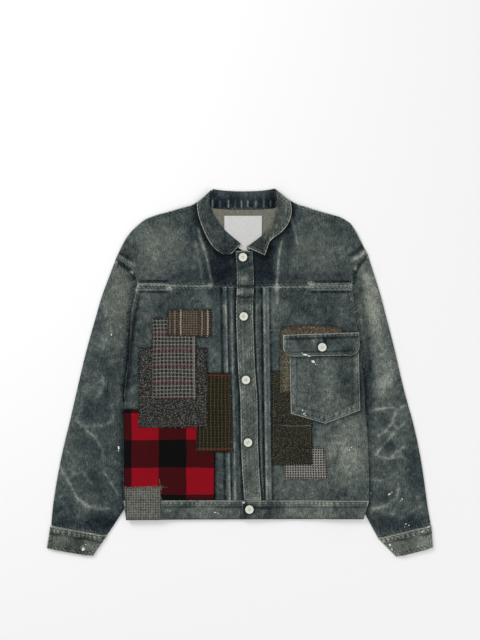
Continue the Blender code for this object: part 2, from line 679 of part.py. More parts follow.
def sleeve_puff(along, across):
    """The sleeve's soft cross folds, nothing at its ends and its two long folds."""
    total = SLEEVE_PUFF
    for middle, centre, length, width, height in SLEEVE_FOLDS:
        shift = middle + SLEEVE_FOLD_SLANT * (across - centre)
        total += height * math.exp(-((along - shift) / length) ** 2 - ((across - centre) / width) ** 2)
    rim = step(0.0, 0.16, across) * step(1.0, 0.84, across)
    return min(total, FOLD_HEIGHT) * rim * step(0.0, 0.1, along) * step(1.0, 0.95, along)


def flat_tube(chords, tops, wall):
    """Sections of a tube pressed flat: an upper wall at the tops and a lower one on the surface."""
    sections = []
    for ring, (chord, heights) in enumerate(zip(chords, tops)):
        before, after = chords[max(ring - 1, 0)], chords[min(ring + 1, len(chords) - 1)]
        ends, deeps = [], []
        for here, there in ((0, -1), (-1, 0)):
            along = Vector(after[here]) - Vector(before[here])
            inward = Vector((along.y, -along.x)).normalized()
            if inward.dot(Vector(chord[there]) - Vector(chord[here])) < 0:
                inward.negate()
            if ring == 0 and here == 0:
                inward = (Vector(chord[1]) - Vector(chord[0])).normalized()
            ends.append(tuple(Vector(chord[here]) + inward * (wall + FOLD_ROUND)))
            deeps.append(tuple(Vector(chord[here]) + inward * (wall + FOLD_INSIDE)))
        line = [ends[0]] + chord[1:-1] + [ends[1]]
        upper = [((*spot, top), (*spot, top - wall)) for spot, top in zip(line, heights)]
        lower = [((*spot, 0.0), (*spot, wall)) for spot in line[::-1]]
        middles = heights[0] / 2, heights[-1] / 2
        sections.append(upper + [((*chord[-1], middles[1]), (*deeps[1], middles[1]))] + lower
                        + [((*chord[0], middles[0]), (*deeps[0], middles[0]))])
    return sections


def build_sleeve(side):
    """A sleeve pressed flat, from the armhole round to the cuff, its inner fold under the body."""
    outward = -1 if side == "right" else 1
    armhole = SIDE_LINE[side][:TOP_ROWS + LOW_ROWS + 1]
    inner = SLEEVE_INNER[side]
    rings = len(inner) - 1
    outer = smooth(SLEEVE_OUTER[side], rings)
    count = len(armhole) - 1
    chords, tops = [], []
    for ring in range(rings + 1):
        along = ring / rings
        bend = step(SLEEVE_STRAIGHT, 0.0, along)
        chord, heights = [], []
        for k, seam in enumerate(armhole):
            across = k / count
            straight = mix(armhole[0], armhole[-1], across)
            spot = mix(outer[ring], inner[ring], across)
            spot = tuple(s + bend * (a - b) for s, a, b in zip(spot, seam, straight))
            if ring == 0:
                before = Vector(armhole[max(k - 1, 0)])
                after = Vector(armhole[min(k + 1, count)])
                normal = Vector((after.y - before.y, before.x - after.x)).normalized()
                normal *= 1 if normal.x * outward > 0 else -1
                spot = tuple(Vector(spot) + normal * SEAM_GAP * 1.4)
            beyond = outward * (spot[0] - x_at(SIDE_LINE[side], spot[1]))
            lift = back_under(*seam) * step(SLEEVE_DESCENT, 0.0, along) * step(*SLEEVE_DIP, across)
            clear = step(*SLEEVE_FOLD_CLEAR, beyond) if ring else 0.0
            heights.append(SLEEVE_STACK + lift + sleeve_puff(along, across) * clear)
            chord.append(spot)
        chords.append(chord)
        tops.append(heights)
    return wall_loft("sleeve_" + side, flat_tube(chords, tops, WALL), True, "denim")


def build_cuff(side):
    """A two-ply cuff pressed flat."""
    top_outer, top_inner, low_inner, low_outer = CUFF[side]
    chords, tops = [], []
    for row in range(CUFF_ROWS + 1):
        down = row / CUFF_ROWS
        start, end = mix(top_outer, low_outer, down), mix(top_inner, low_inner, down)
        bow = CUFF_BULGE * (down - 0.5) if row else 0.0
        puffed = CUFF_PUFF * math.sin(math.pi * down)
        chord, heights = [], []
        for k in range(CUFF_PARTS + 1):
            across = k / CUFF_PARTS
            x, y = mix(start, end, across)
            chord.append((x, y - bow * 4 * across * (1 - across)))
            swell = puffed * step(0, 0.3, across) * step(1, 0.7, across)
            heights.append(2 * BAND_WALL + CUFF_ROOM + swell)
        chords.append(chord)
        tops.append(heights)
    return wall_loft("cuff_" + side, flat_tube(chords, tops, BAND_WALL), True, "denim")


def build_patches():
    """The patches, each over the ones sewn on before it."""
    below = []
    for name, corners in PATCHES_RIGHT:
        pleated = "right" if name == "patch_brown_check" else None
        steps = below + ([pleat_box("right")] if pleated else [])
        rows = quad_rows(corners, 15, 30, steps)
        sheet(name, rows, lay_on(list(below), pleated), PATCH_WALL, name.replace("patch_", ""))
        below.append(corners)

    def linen_height(x, y):
        layers = 2 * WALL + BODY_GAP + PATCH_WALL + 2 * LAYER_GAP
        return back_under(x, y) + layers + puff(x, y)

    rows = quad_rows(LINEN_PATCH, 12, 22)
    sheet("patch_linen_check", rows, linen_height, PATCH_WALL, "linen_check")

    below = []
    for name, corners in PATCHES_LEFT:
        pleated = "left" if name != "patch_open_check" else None
        steps = below + ([pleat_box("left")] if pleated else [])
        arch = PATCH_TOP_ARCH if name == "patch_brown_tweed" else 0.0
        rows = quad_rows(corners, 15, 30, steps, arch)
        sheet(name, rows, lay_on(list(below), pleated), PATCH_WALL, name.replace("patch_", ""))
        below.append(corners)


def pocket_height(x, y):
    """The chest pocket lies on the left front and its patches."""
    return lay_on([corners for _, corners in PATCHES_LEFT])(x, y)


def flap_height(x, y):
    """The flap lies on the pocket."""
    return pocket_height(x, y) + (WALL + LAYER_GAP) * cover(POCKET, x, y)


def build_pocket():
    """The chest pocket with its pointed bottom, and its flap."""
    below = [corners for _, corners in PATCHES_LEFT]
    rows = quad_rows(POCKET, 15, 30, below, drop=POCKET_POINT)
    sheet("pocket", rows, pocket_height, WALL, "denim")
    rows = quad_rows(FLAP, 14, 14, below + [POCKET], corner=FLAP_CORNER)
    sheet("pocket_flap", rows, flap_height, BAND_WALL, "denim")


def build_label():
    """The bare label sewn inside the back of the neck."""
    def height(x, y):
        return back_under(x, y) + WALL + LAYER_GAP

    sheet("neck_label", quad_rows(NECK_LABEL, 16, 12), height, LABEL_WALL, "white_label")


def build_buttons():
    """Turned sew-through buttons, on the placket, the waistband and the flap."""
    def band_top(x, y):
        return back_under(x, y) + 3 * BAND_WALL + BODY_GAP + LAYER_GAP

    tops = {"button_5": band_top, "button_flap": lambda x, y: flap_height(x, y) + BAND_WALL}
    # Shares of the radius, and heights
    profile = [(0.0, 2.1), (0.55, 2.1), (0.74, BUTTON_HEIGHT), (0.92, 2.7), (1.0, 1.4), (0.78, 0.0),
               (0.0, 0.0)]
    for name, (x, y) in BUTTONS.items():
        top = tops.get(name, lambda a, b: placket_height(a, b) + PLACKET_WALL)
        reach = [top(x + dx, y + dy) for dx in (-6, 0, 6) for dy in (-6, 0, 6)]
        mesh = bpy.data.meshes.new(name)
        points = [(radius * BUTTON_RADIUS * MM, 0, z * MM) for radius, z in profile]
        mesh.from_pydata(points, [(k, k + 1) for k in range(len(points) - 1)], [])
        made = add_object(name, mesh, "cream_button")
        made.location = (x * MM, y * MM, (max(reach) + SEAM_GAP) * MM)
        turn = made.modifiers.new("Turned", "SCREW")
        turn.steps = turn.render_steps = 14
        turn.use_merge_vertices = True
        turn.merge_threshold = 0.00001
        turn.use_smooth_shade = True


def main():
    for old in list(bpy.data.objects):
        bpy.data.objects.remove(old, do_unlink=True)
    collection = bpy.data.collections.new("patched_jacket")
    bpy.context.scene.collection.children.link(collection)
    build_back()
    for side in ("right", "left"):
        build_yoke(side)
        build_front(side)
        build_sleeve(side)
        build_cuff(side)
    build_waistbands()
    build_placket()
    build_collar()
    build_patches()
    build_pocket()
    build_label()
    build_buttons()


main()
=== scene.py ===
"""Dresses the mended denim jacket's solids with washed denim, wool patches, sewing and wear.

Sizes are in millimetres until a mesh is made. +X points to the wearer's left, +Y to the collar and
+Z up from the surface that the jacket lies on. Left and right in the names are the wearer's.

Each cloth piece is a fine net inside its solid's outline, at the height of the solid's upper face,
with listed folds laid on it. The same folds lift every layer that lies over them.
"""
import math

import bmesh
import bpy
import numpy as np
from bpy.props import FloatProperty, FloatVectorProperty, PointerProperty
from mathutils import Matrix, Vector
from mathutils.bvhtree import BVHTree
from mathutils.geometry import delaunay_2d_cdt


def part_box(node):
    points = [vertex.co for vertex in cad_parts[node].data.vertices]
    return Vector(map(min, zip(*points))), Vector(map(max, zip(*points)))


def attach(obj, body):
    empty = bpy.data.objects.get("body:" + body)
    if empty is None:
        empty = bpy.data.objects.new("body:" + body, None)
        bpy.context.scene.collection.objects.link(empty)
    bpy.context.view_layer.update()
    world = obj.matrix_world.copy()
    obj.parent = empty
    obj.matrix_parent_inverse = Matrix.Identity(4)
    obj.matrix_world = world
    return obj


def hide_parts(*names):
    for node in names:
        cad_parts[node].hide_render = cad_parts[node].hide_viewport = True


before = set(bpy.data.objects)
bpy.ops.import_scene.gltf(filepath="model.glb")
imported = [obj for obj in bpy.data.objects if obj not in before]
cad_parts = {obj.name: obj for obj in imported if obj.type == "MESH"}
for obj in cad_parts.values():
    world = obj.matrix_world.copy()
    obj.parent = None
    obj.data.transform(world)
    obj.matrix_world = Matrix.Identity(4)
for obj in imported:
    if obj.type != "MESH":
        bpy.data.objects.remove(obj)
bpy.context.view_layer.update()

bl_info = {
    "name": "Mended Denim Jacket",
    "version": (1, 0, 0),
    "blender": (4, 5, 0),
    "location": "View3D > Sidebar > Jacket",
    "description": "Washed denim, wool patches, sewing and wear on the jacket's solids",
    "category": "Object",
}

MM = 0.001
SIDES = ("right", "left")
CLOTH = {}

# Pleats beside the placket: x at the yoke seam, x at the waist seam, width
PLEATS = {"right": (-25.6, -17.0, 11.5), "left": (46.0, 52.0, 12.5)}
YOKE_SEAM, WAIST_SEAM = 174.5, -261.7
PLEAT_RISE = 1.5

# Sharp creases of the yokes, from the collar down to the yoke seam
YOKE_CREASES = {
    "right": [[(-86, 296), (-79, 270), (-70, 246), (-63, 212), (-56, 176)]],
    "left": [[(86, 272), (80, 240), (77, 204), (76, 178)]],
}

# Folds of the body: points, width, height, paleness. A trough has a height below nothing, and a paleness below nothing
# makes it darker
BODY_FOLDS = [
    (YOKE_CREASES["right"][0], 3.0, 1.8, 0.74),
    ([(-96, 300), (-90, 262), (-82, 226), (-78, 190)], 5, 0.9, 0.20),
    ([(-76, 286), (-62, 246), (-54, 196)], 7, -0.8, -0.16),
    ([(-118, 330), (-104, 270), (-92, 190)], 14, 0.9, 0.05),
    ([(-196, 292), (-170, 240), (-176, 190)], 16, 1.0, 0.05),
    (YOKE_CREASES["left"][0] + [(78, 140)], 3.2, 1.8, 0.70),
    ([(104, 322), (111, 290), (118, 262)], 3.4, 1.2, 0.50),
    ([(66, 262), (65, 214), (68, 176)], 6, -0.8, -0.14),
    ([(98, 262), (100, 226), (96, 190)], 7, -0.6, -0.12),
    ([(116, 316), (122, 270), (104, 190)], 12, 0.9, 0.08),
    ([(206, 288), (186, 240), (192, 186)], 16, 1.0, 0.06),
    ([(-200, 168), (-176, 120), (-150, 70)], 12, 0.9, 0.06),
    ([(-66, 160), (-50, 60), (-56, -60), (-44, -200)], 13, 0.9, 0.04),
    ([(-214, 40), (-180, -60), (-190, -200)], 16, 1.0, 0.0),
    ([(214, 150), (196, 60), (206, -60)], 14, 0.9, 0.04),
    ([(90, 150), (76, 60), (84, -80), (72, -220)], 13, 1.0, 0.06),
    ([(236, -90), (214, -160), (222, -240)], 13, 1.0, 0.10),
    ([(150, -90), (168, -180), (150, -240)], 15, 1.0, 0.08),
    ([(-120, -80), (-140, -180), (-120, -250)], 18, 0.9, 0.0),
    # Painted shade along the fronts' side edges, where the sleeves meet them
    ([(-206, 156), (-218, 100), (-227, 20), (-234, -60)], 5, -0.5, -0.50),
    ([(234, 214), (235, 179), (239, 128), (245, 90)], 5, -0.4, -0.44),
    ([(-250, 241), (-233, 230), (-214, 218)], 3.5, 0.5, 0.34), ([(-262, 250), (-238, 240), (-222, 231)], 4, -0.5, -0.4),
    ([(221, 239), (238, 246), (254, 261)], 4.5, -0.9, -0.74), ([(228, 228), (244, 238), (259, 249)], 4, 0.8, 0.5),
]

# Creases worn pale across the sleeves at the elbow and the wrist, and darker troughs; those along the body's edge are
# painted shade
SLEEVE_FOLDS = {
    "right": [
        ([(-317, -115), (-296, -133), (-281, -157), (-280, -176)], 4.5, 1.1, 0.34),
        ([(-335, -98), (-320, -111), (-281, -108), (-258, -98)], 5, 1.1, 0.30),
        ([(-352, -160), (-338, -187), (-345, -212)], 6, 0.8, 0.18),
        ([(-371, -187), (-359, -211), (-345, -232), (-335, -254), (-311, -274), (-290, -279), (-262, -278)],
         5.5, 1.3, 0.40),
        ([(-345, -211), (-323, -202), (-308, -223), (-297, -233)], 5, 1.0, 0.26),
        ([(-281, -202), (-269, -217), (-257, -238), (-246, -254)], 4, 1.0, 0.34),
        ([(-281, -4), (-278, -30), (-296, -52)], 7, 1.0, 0.26),
        ([(-264, -60), (-258, -98)], 6, 0.9, 0.26),
        ([(-310, -20), (-322, -52), (-334, -98)], 9, 0.9, 0.14),
        ([(-300, 90), (-274, 62), (-252, 56)], 11, 1.2, 0.10),
        ([(-282, 160), (-268, 110), (-282, 40)], 10, 1.0, 0.16),
        ([(-372, -252), (-352, -284), (-330, -308)], 7, 1.2, 0.14),
        ([(-318, -300), (-290, -312), (-262, -300)], 5, 1.0, 0.12),
        # Painted shade on the sleeve along the body's edge
        ([(-210, 160), (-222, 100), (-230, 20), (-238, -60)], 5, -0.4, -0.46),
        ([(-258, 230), (-241, 220), (-224, 207), (-216, 190)], 4, -0.6, -0.66),
    ],
    "left": [
        ([(263, -79), (293, -73), (312, -71), (325, -76), (342, -63)], 5, 1.2, 0.36),
        ([(319, -79), (312, -102), (296, -122), (280, -132)], 5, 1.3, 0.38),
        ([(312, -102), (322, -115), (342, -99)], 4.5, 1.0, 0.28),
        ([(319, -119), (306, -135), (283, -161), (279, -171)], 5, 1.2, 0.38),
        ([(280, -171), (306, -176), (322, -161), (342, -148)], 5, 1.2, 0.38),
        ([(306, -175), (329, -171), (345, -181)], 4.5, 1.0, 0.32),
        ([(266, -220), (296, -219), (322, -204), (339, -197)], 6, 1.0, 0.18),
        ([(325, -233), (322, -256), (296, -273), (266, -281)], 5.5, 1.3, 0.34),
        ([(299, -286), (332, -296), (362, -279), (381, -266)], 6, 1.1, 0.18),
        ([(300, 90), (280, 60), (262, 40)], 12, 1.2, 0.10),
        ([(320, 20), (300, -10), (290, -50)], 11, 1.0, 0.14),
        ([(256, 210), (268, 160), (284, 96), (298, 26)], 19, 0.9, 0.17),
        # Painted shade on the sleeve along the body's edge
        ([(246, 176), (254, 120), (262, 60), (268, 0)], 8, -0.9, -0.30),
        ([(268, 226), (282, 196)], 5, -0.8, -0.30),
        ([(262, 236), (248, 224), (237, 208), (234, 186)], 4, -0.6, -0.50),
        ([(376, -236), (360, -262), (336, -286)], 6, 1.0, 0.10),
    ],
}

# How the wash left the denim, with painted shade in a few dark zones: under the collar leaves at (-98, 292) and (104,
# 278), and on the left sleeve beside the body at (264, -25). Columns: x, y, half width, half height, fade added, warmth
# added
WASH_ZONES = [
    (-170, 257, 54, 55, 0.19, 0.5), (-34, 212, 28, 50, -0.40, -0.5), (-98, 292, 14, 34, -0.20, -0.2),
    (-228, 250, 26, 26, -0.12, 0.0), (-118, 196, 60, 16, -0.12, -0.2), (-160, 330, 60, 12, -0.10, 0.0),
    (40, 218, 34, 52, -0.30, -0.5), (104, 278, 13, 26, -0.20, -0.3), (154, 251, 54, 50, 0.12, 0.3),
    (228, 235, 22, 30, 0.05, 0.1), (140, 196, 70, 14, -0.08, -0.1),
    (-246, 149, 30, 88, 0.20, 0.7), (-268, -30, 20, 70, -0.12, -0.1), (-304, -77, 24, 26, -0.13, -0.4),
    (-300, -160, 26, 26, -0.10, -0.1), (-290, -225, 22, 24, -0.11, -0.2), (-366, -286, 26, 30, -0.16, -0.3),
    (-268, -302, 40, 26, -0.22, -0.4), (-330, -140, 20, 30, -0.06, 0.0), (-356, -60, 22, 160, 0.08, 0.2),
    (-310, -308, 70, 10, -0.14, -0.3),
    (268, 149, 34, 92, 0.235, 0.6), (297, 0, 30, 60, 0.20, 0.3), (264, -25, 12, 60, -0.20, -0.3),
    (310, -230, 60, 90, 0.08, 0.1), (-310, -230, 60, 100, 0.04, 0.0),
    (-296, -20, 60, 100, 0.05, 0.1), (312, -60, 50, 90, 0.05, 0.1),
    (346, -20, 22, 60, -0.04, -0.4), (359, -190, 20, 60, -0.14, -0.2), (300, -148, 16, 14, -0.22, -0.3),
    (298, -100, 12, 14, -0.16, -0.2), (332, -306, 60, 20, -0.22, -0.3), (290, -250, 24, 16, -0.14, -0.2),
    (217, -158, 50, 76, 0.24, 0.5), (110, -224, 50, 26, 0.12, 0.3), (232, -30, 22, 60, -0.14, -0.1),
    (-18, -20, 14, 190, -0.02, -0.2), (58, -20, 14, 190, 0.0, -0.1), (-120, 140, 90, 30, -0.02, 0.0),
    (130, 130, 70, 36, -0.02, 0.0), (-222, 60, 14, 90, -0.10, 0.0), (66, 130, 10, 40, 0.10, 0.2),
]

# Where the wash left the denim even instead of cloudy: x, y, half width, half height
CALM_ZONES = [(280, 120, 46, 120), (-254, 150, 40, 110), (-170, 257, 60, 60), (150, 251, 60, 50),
              (20, -20, 60, 240), (150, -20, 60, 70), (306, -130, 50, 60), (-300, -130, 60, 60)]

# Small worn stars and scuffs: x, y, radius, paleness
PALE_SPOTS = [
    (-62, 178, 7, 0.30), (76, 175, 8, 0.34), (146, 180, 8, 0.36), (-145, 173, 8, 0.36), (-207, 176, 6, 0.2),
    (227, 178, 6, 0.2), (-321, -359, 5, 0.4), (-254, 226, 5, 0.3), (-222, 206, 5, 0.3), (-212, 168, 4, 0.3),
    (262, 236, 5, 0.3), (236, 214, 5, 0.3), (230, 150, 4, 0.3), (306, -64, 8, 0.14),
]

# Free edge of each collar leaf, from the side crease round its tip to the roll line
COLLAR_EDGE = {
    "right": [(-57, 377), (-88, 348), (-87.5, 332), (-84, 317), (-77, 297), (-66, 273), (-55, 257), (-41, 245),
              (-28, 239.5), (-17, 243), (2, 264)],
    "left": [(72, 378), (103, 351), (106.5, 337), (105, 321), (99, 304), (89, 291), (76, 280), (63, 273),
             (57, 257), (51, 240), (13, 257)],
}

# What lies on each front, and the painted shade it casts on the denim beside its edge: node, depth and reach
LYING_ON_FRONT = {
    "right": [("placket", 0.16, 3.0), ("patch_red_plaid", 0.20, 3.0), ("patch_brown_check", 0.18, 3.0),
              ("patch_grey_tweed", 0.16, 3.0), ("patch_houndstooth", 0.12, 2.5),
              ("patch_striped_tweed", 0.16, 3.0)],
    "left": [("placket", 0.20, 2.4), ("pocket", 0.20, 4.0), ("pocket_flap", 0.20, 4.0),
             ("patch_open_check", 0.10, 2.5), ("patch_charcoal_tweed", 0.10, 3.0),
             ("patch_brown_tweed", 0.16, 3.0)],
}

# Middles of the placket's buttons, around which the cloth is painted dark as their shadow
BUTTON_PLACES = [(6, 236), (7.6, 115), (12.1, -15), (16.4, -143), (19.3, -280)]

# Row of topstitching inside each collar leaf's edge
COLLAR_STITCH = {
    "right": [(-83, 340), (-83.5, 330), (-80, 315), (-73.5, 297), (-63, 275), (-52.5, 261), (-40, 249.5),
              (-28.5, 244), (-20, 246)],
    "left": [(100, 345), (102, 334), (100.5, 320), (95, 305), (86, 294), (73.5, 283.5), (61.5, 277),
             (54, 260), (49.5, 246)],
}

# Tabs bunched on the yoke seam, whose two edges are worn white: first x, last x
TUCKS = {"right": (-206, -148), "left": (147, 227)}
# Worn pale lines along the tabs, and painted shadow lines just above and below them (186.5 and 165): y and fade added
TUCK_ROWS = ((186.5, -0.34), (181.5, 0.22), (176, -0.04), (169.5, 0.20), (165, -0.42))


def linear(code):
    """An sRGB hex colour as the linear numbers that Blender works with."""
    parts = [int(code[k:k + 2], 16) / 255 for k in (1, 3, 5)]
    return [p / 12.92 if p <= 0.04045 else ((p + 0.055) / 1.055) ** 2.4 for p in parts]


def colour(name, code, about):
    """A colour that the user can change."""
    return FloatVectorProperty(name=name, description=about, subtype="COLOR", size=3, min=0, max=1,
                               default=linear(code))


class JacketSizes(bpy.types.PropertyGroup):
    """Sizes of the cloth's net and its walls, and how strongly the folds stand out."""

    panel_net: FloatProperty(name="Panel net", description="Point spacing in the large panels, in mm",
                             default=3.2, min=1.5, max=12)
    sleeve_net: FloatProperty(name="Sleeve net", description="Point spacing in the sleeves, in mm",
                              default=2.2, min=1.5, max=12)
    patch_net: FloatProperty(name="Patch net", description="Point spacing in the small pieces, in mm",
                             default=2.6, min=1.0, max=12)
    wall: FloatProperty(name="Wall", description="Thickness of one layer of cloth, in mm",
                        default=1.1, min=0.5, max=2.0)
    relief: FloatProperty(name="Fold relief", description="How strongly the folds stand out",
                          default=1.5, min=0, max=3)


class JacketColours(bpy.types.PropertyGroup):
    """Colours of the denim and the trim."""

    unworn: colour("Unworn denim", "#0b1014", "Indigo that the wash did not reach")
    dark: colour("Dark denim", "#1f282c", "Denim in hollows and beside seams")
    middle: colour("Middle denim", "#3d4645", "The wash over most of the jacket")
    worn: colour("Worn denim", "#606965", "Denim on the raised places")
    pale: colour("Pale denim", "#979c94", "Denim worn to its white weft")
    tint: colour("Aged tint", "#66685c", "Brownish tint of age on the worn places")
    indigo: colour("Indigo tint", "#2a3644", "Blue that is left where the wear is least")
    inside: colour("Inside", "#63645b", "The undyed side of the denim")
    button: colour("Button", "#d9dbce", "Cream buttons")
    label: colour("Label", "#c9cac8", "Bare cotton label")


def sizes():
    return bpy.context.scene.jacket_sizes


def colours():
    return bpy.context.scene.jacket_colours


def add(tree, kind, values=None, links=None, **settings):
    """Add a shader node with its settings, its input values and its links."""
    node = tree.nodes.new("ShaderNode" + kind)
    for name, value in settings.items():
        setattr(node, name, value)
    for name, value in (values or {}).items():
        node.inputs[name].default_value = value
    for name, socket in (links or {}).items():
        tree.links.new(socket, node.inputs[name])
    return node


def new_material(name):
    """An empty material with its shader, ready for a pattern."""
    made = bpy.data.materials.get(name)
    if made:
        return made, None, None
    made = bpy.data.materials.new(name)
    made.use_nodes = True
    tree = made.node_tree
    shader = tree.nodes["Principled BSDF"]
    return made, tree, shader


def step(low, high, value):
    """A smooth rise from 0 at low to 1 at high, for arrays."""
    amount = np.clip((value - low) / (high - low), 0.0, 1.0)
    return amount * amount * (3 - 2 * amount)


def line_distance(x, y, line):
    """Distance of each point from a line of several stretches, and the place along it."""
    best = np.full(len(x), 1e9)
    place = np.zeros(len(x))
    start = 0.0
    for (x0, y0), (x1, y1) in zip(line, line[1:]):
        dx, dy = x1 - x0, y1 - y0
        span = math.hypot(dx, dy)
        if span < 1e-9:
            continue
        amount = np.clip(((x - x0) * dx + (y - y0) * dy) / span ** 2, 0, 1)
        away = np.hypot(x - x0 - amount * dx, y - y0 - amount * dy)
        nearer = away < best
        best = np.where(nearer, away, best)
        place = np.where(nearer, start + amount * span, place)
        start += span
    return best, place, start


def ridge(x, y, line, width):
    """1 on a line, falling softly to 0 beside it and towards its ends."""
    away, place, length = line_distance(x, y, line)
    ends = step(-0.5 * width, 1.2 * width, np.minimum(place, length - place))
    return np.exp(-(away / width) ** 2) * ends


def merged_copy(node):
    """A copy of a solid's mesh with its doubles merged."""
    bm = bmesh.new()
    bm.from_mesh(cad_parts[node].data)
    bmesh.ops.remove_doubles(bm, verts=bm.verts, dist=1e-6)
    bm.normal_update()
    return bm


def upper_skin(node):
    """The solid's faces that are seen from above."""
    bm = merged_copy(node)
    tree = BVHTree.FromBMesh(bm)
    hidden = []
    for face in bm.faces:
        centre = face.calc_center_median() + Vector((0, 0, 1e-5))
        if face.normal.z < 0.3 or tree.ray_cast(centre, Vector((0, 0, 1)))[0] is not None:
            hidden.append(face)
    bmesh.ops.delete(bm, geom=hidden, context="FACES")
    return bm


def rim_of(bm):
    """The skin's rim as one anticlockwise loop of points in mm."""
    after = {}
    for edge in bm.edges:
        if edge.is_boundary:
            loop = edge.link_loops[0]
            after[loop.vert] = loop.link_loop_next.vert
    rim, spot = [], next(iter(after))
    for _ in after:
        rim.append((spot.co.x / MM, spot.co.y / MM))
        spot = after[spot]
    return rim


def soft_rim(rim, spacing):
    """The rim with smooth stretches between its corners, parted evenly."""
    count = len(rim)
    points = np.array(rim)
    ahead = np.roll(points, -1, 0) - points
    behind = points - np.roll(points, 1, 0)
    turn = np.abs((np.arctan2(ahead[:, 1], ahead[:, 0]) - np.arctan2(behind[:, 1], behind[:, 0])
                   + math.pi) % (2 * math.pi) - math.pi)
    corner = turn > math.radians(26)
    made = []
    for k in range(count):
        a, b = points[k], points[(k + 1) % count]
        before = a - (b - a) if corner[k] else points[k - 1]
        after = b + (b - a) if corner[(k + 1) % count] else points[(k + 2) % count]
        length = math.dist(a, b)
        pull_in, pull_out = math.dist(before, a), math.dist(b, after)
        leave = ((a - before) * length / max(pull_in, 1e-6) + (b - a)) / 2
        arrive = ((b - a) + (after - b) * length / max(pull_out, 1e-6)) / 2
        parts = max(1, round(length / spacing))
        for t in np.arange(parts) / parts:
            made.append((2 * t ** 3 - 3 * t ** 2 + 1) * a + (t ** 3 - 2 * t ** 2 + t) * leave
                        + (-2 * t ** 3 + 3 * t ** 2) * b + (t ** 3 - t ** 2) * arrive)
    return np.array(made)


def ragged(rim, amount, seed):
    """The rim with threads missing along it."""
    rng = np.random.default_rng(seed)
    shift = np.convolve(np.pad(rng.normal(0, 1, len(rim)), 1, "wrap"), (0.3, 0.4, 0.3), "valid")
    along = np.roll(rim, -1, 0) - np.roll(rim, 1, 0)
    normal = np.stack([along[:, 1], -along[:, 0]], 1)
    normal /= np.maximum(np.linalg.norm(normal, axis=1, keepdims=True), 1e-6)
    return rim + normal * (shift * amount)[:, None]


def net(rim, spacing, guides=()):
    """A fine net of triangles inside a rim, with points along the guide lines."""
    loop = [tuple(p) for p in rim]
    low, high = rim.min(0), rim.max(0)
    xs, ys = np.arange(low[0], high[0], spacing), np.arange(low[1], high[1], spacing * 0.866)
    grid_x, grid_y = np.meshgrid(xs, ys)
    grid_x = grid_x + (np.arange(len(ys)) % 2 * spacing / 2)[:, None]
    inner = np.stack([grid_x.ravel(), grid_y.ravel()], 1)
    closed = loop + [loop[0]]
    inner = inner[line_distance(inner[:, 0], inner[:, 1], closed)[0] > spacing * 0.75]
    along = np.roll(rim, -1, 0) - np.roll(rim, 1, 0)
    inward = np.stack([-along[:, 1], along[:, 0]], 1)
    inward /= np.maximum(np.linalg.norm(inward, axis=1, keepdims=True), 1e-6)
    rows = [inner]
    for inset in (0.7, 1.6):
        ring = rim + inward * inset
        rows.append(ring[line_distance(ring[:, 0], ring[:, 1], closed)[0] > inset * 0.9])
    for guide in guides:
        length = sum(math.dist(a, b) for a, b in zip(guide, guide[1:]))
        count = max(2, round(length / spacing))
        for (x0, y0), (x1, y1) in zip(guide, guide[1:]):
            t = np.linspace(0, 1, count)[:, None]
            middle = np.array([[x0, y0]]) * (1 - t) + np.array([[x1, y1]]) * t
            side = np.array([[y1 - y0, x0 - x1]]) / math.dist((x0, y0), (x1, y1))
            for shift in (-0.8, 0.8):
                row = middle + side * shift
                rows[0] = rows[0][line_distance(rows[0][:, 0], rows[0][:, 1], guide)[0] > 2.0]
                rows.append(row[line_distance(row[:, 0], row[:, 1], closed)[0] > 1.0])
    inner = np.concatenate(rows)
    count = len(loop)
    spots = [Vector(p) for p in loop] + [Vector(p) for p in inner]
    made = delaunay_2d_cdt(spots, [], [list(range(count))], 1, 1e-4)
    points = np.array([(v.x, v.y) for v in made[0]])
    faces = np.array([f if len(f) == 3 else f[:3] for f in made[2]])
    on_rim = np.array([any(k < count for k in source) for source in made[3]])
    a, b, c = (points[faces[:, k]] for k in range(3))
    area = (b[:, 0] - a[:, 0]) * (c[:, 1] - a[:, 1]) - (b[:, 1] - a[:, 1]) * (c[:, 0] - a[:, 0])
    inside = line_distance(*((a + b + c) / 3).T, closed)[0] > 0
    faces = faces[(np.abs(area) > 1e-6) & inside]
    area = area[(np.abs(area) > 1e-6) & inside]
    faces[area < 0] = faces[area < 0][:, ::-1]
    return points, faces, on_rim


def heights(bm, points):
    """The skin's height over each point, or over the nearest place on it."""
    flat = BVHTree.FromPolygons([(v.co.x, v.co.y, 0) for v in bm.verts],
                                [[v.index for v in f.verts] for f in bm.faces])
    bm.faces.ensure_lookup_table()
    found = []
    for x, y in points * MM:
        spot, _, index, _ = flat.find_nearest(Vector((x, y, 0)))
        face = bm.faces[index]
        normal, corner = face.normal, face.verts[0].co
        found.append(corner.z - (normal.x * (spot.x - corner.x) + normal.y * (spot.y - corner.y)) / normal.z)
    return np.array(found) / MM


def links_of(faces):
    """Each pair of joined points once."""
    pairs = np.concatenate([faces[:, [0, 1]], faces[:, [1, 2]], faces[:, [2, 0]]])
    return np.unique(np.sort(pairs, 1), axis=0)


def relax(values, faces, on_rim, rounds):
    """Even out the solid's flat facets."""
    pairs = links_of(faces)
    mixed = on_rim[pairs[:, 0]] != on_rim[pairs[:, 1]]
    for _ in range(rounds):
        total, count = np.zeros(len(values)), np.zeros(len(values))
        for a, b in ((0, 1), (1, 0)):
            use = ~(mixed & on_rim[pairs[:, a]])
            np.add.at(total, pairs[use, a], values[pairs[use, b]])
            np.add.at(count, pairs[use, a], 1)
        values = np.where(count > 0, 0.5 * values + 0.5 * total / np.maximum(count, 1), values)
    return values


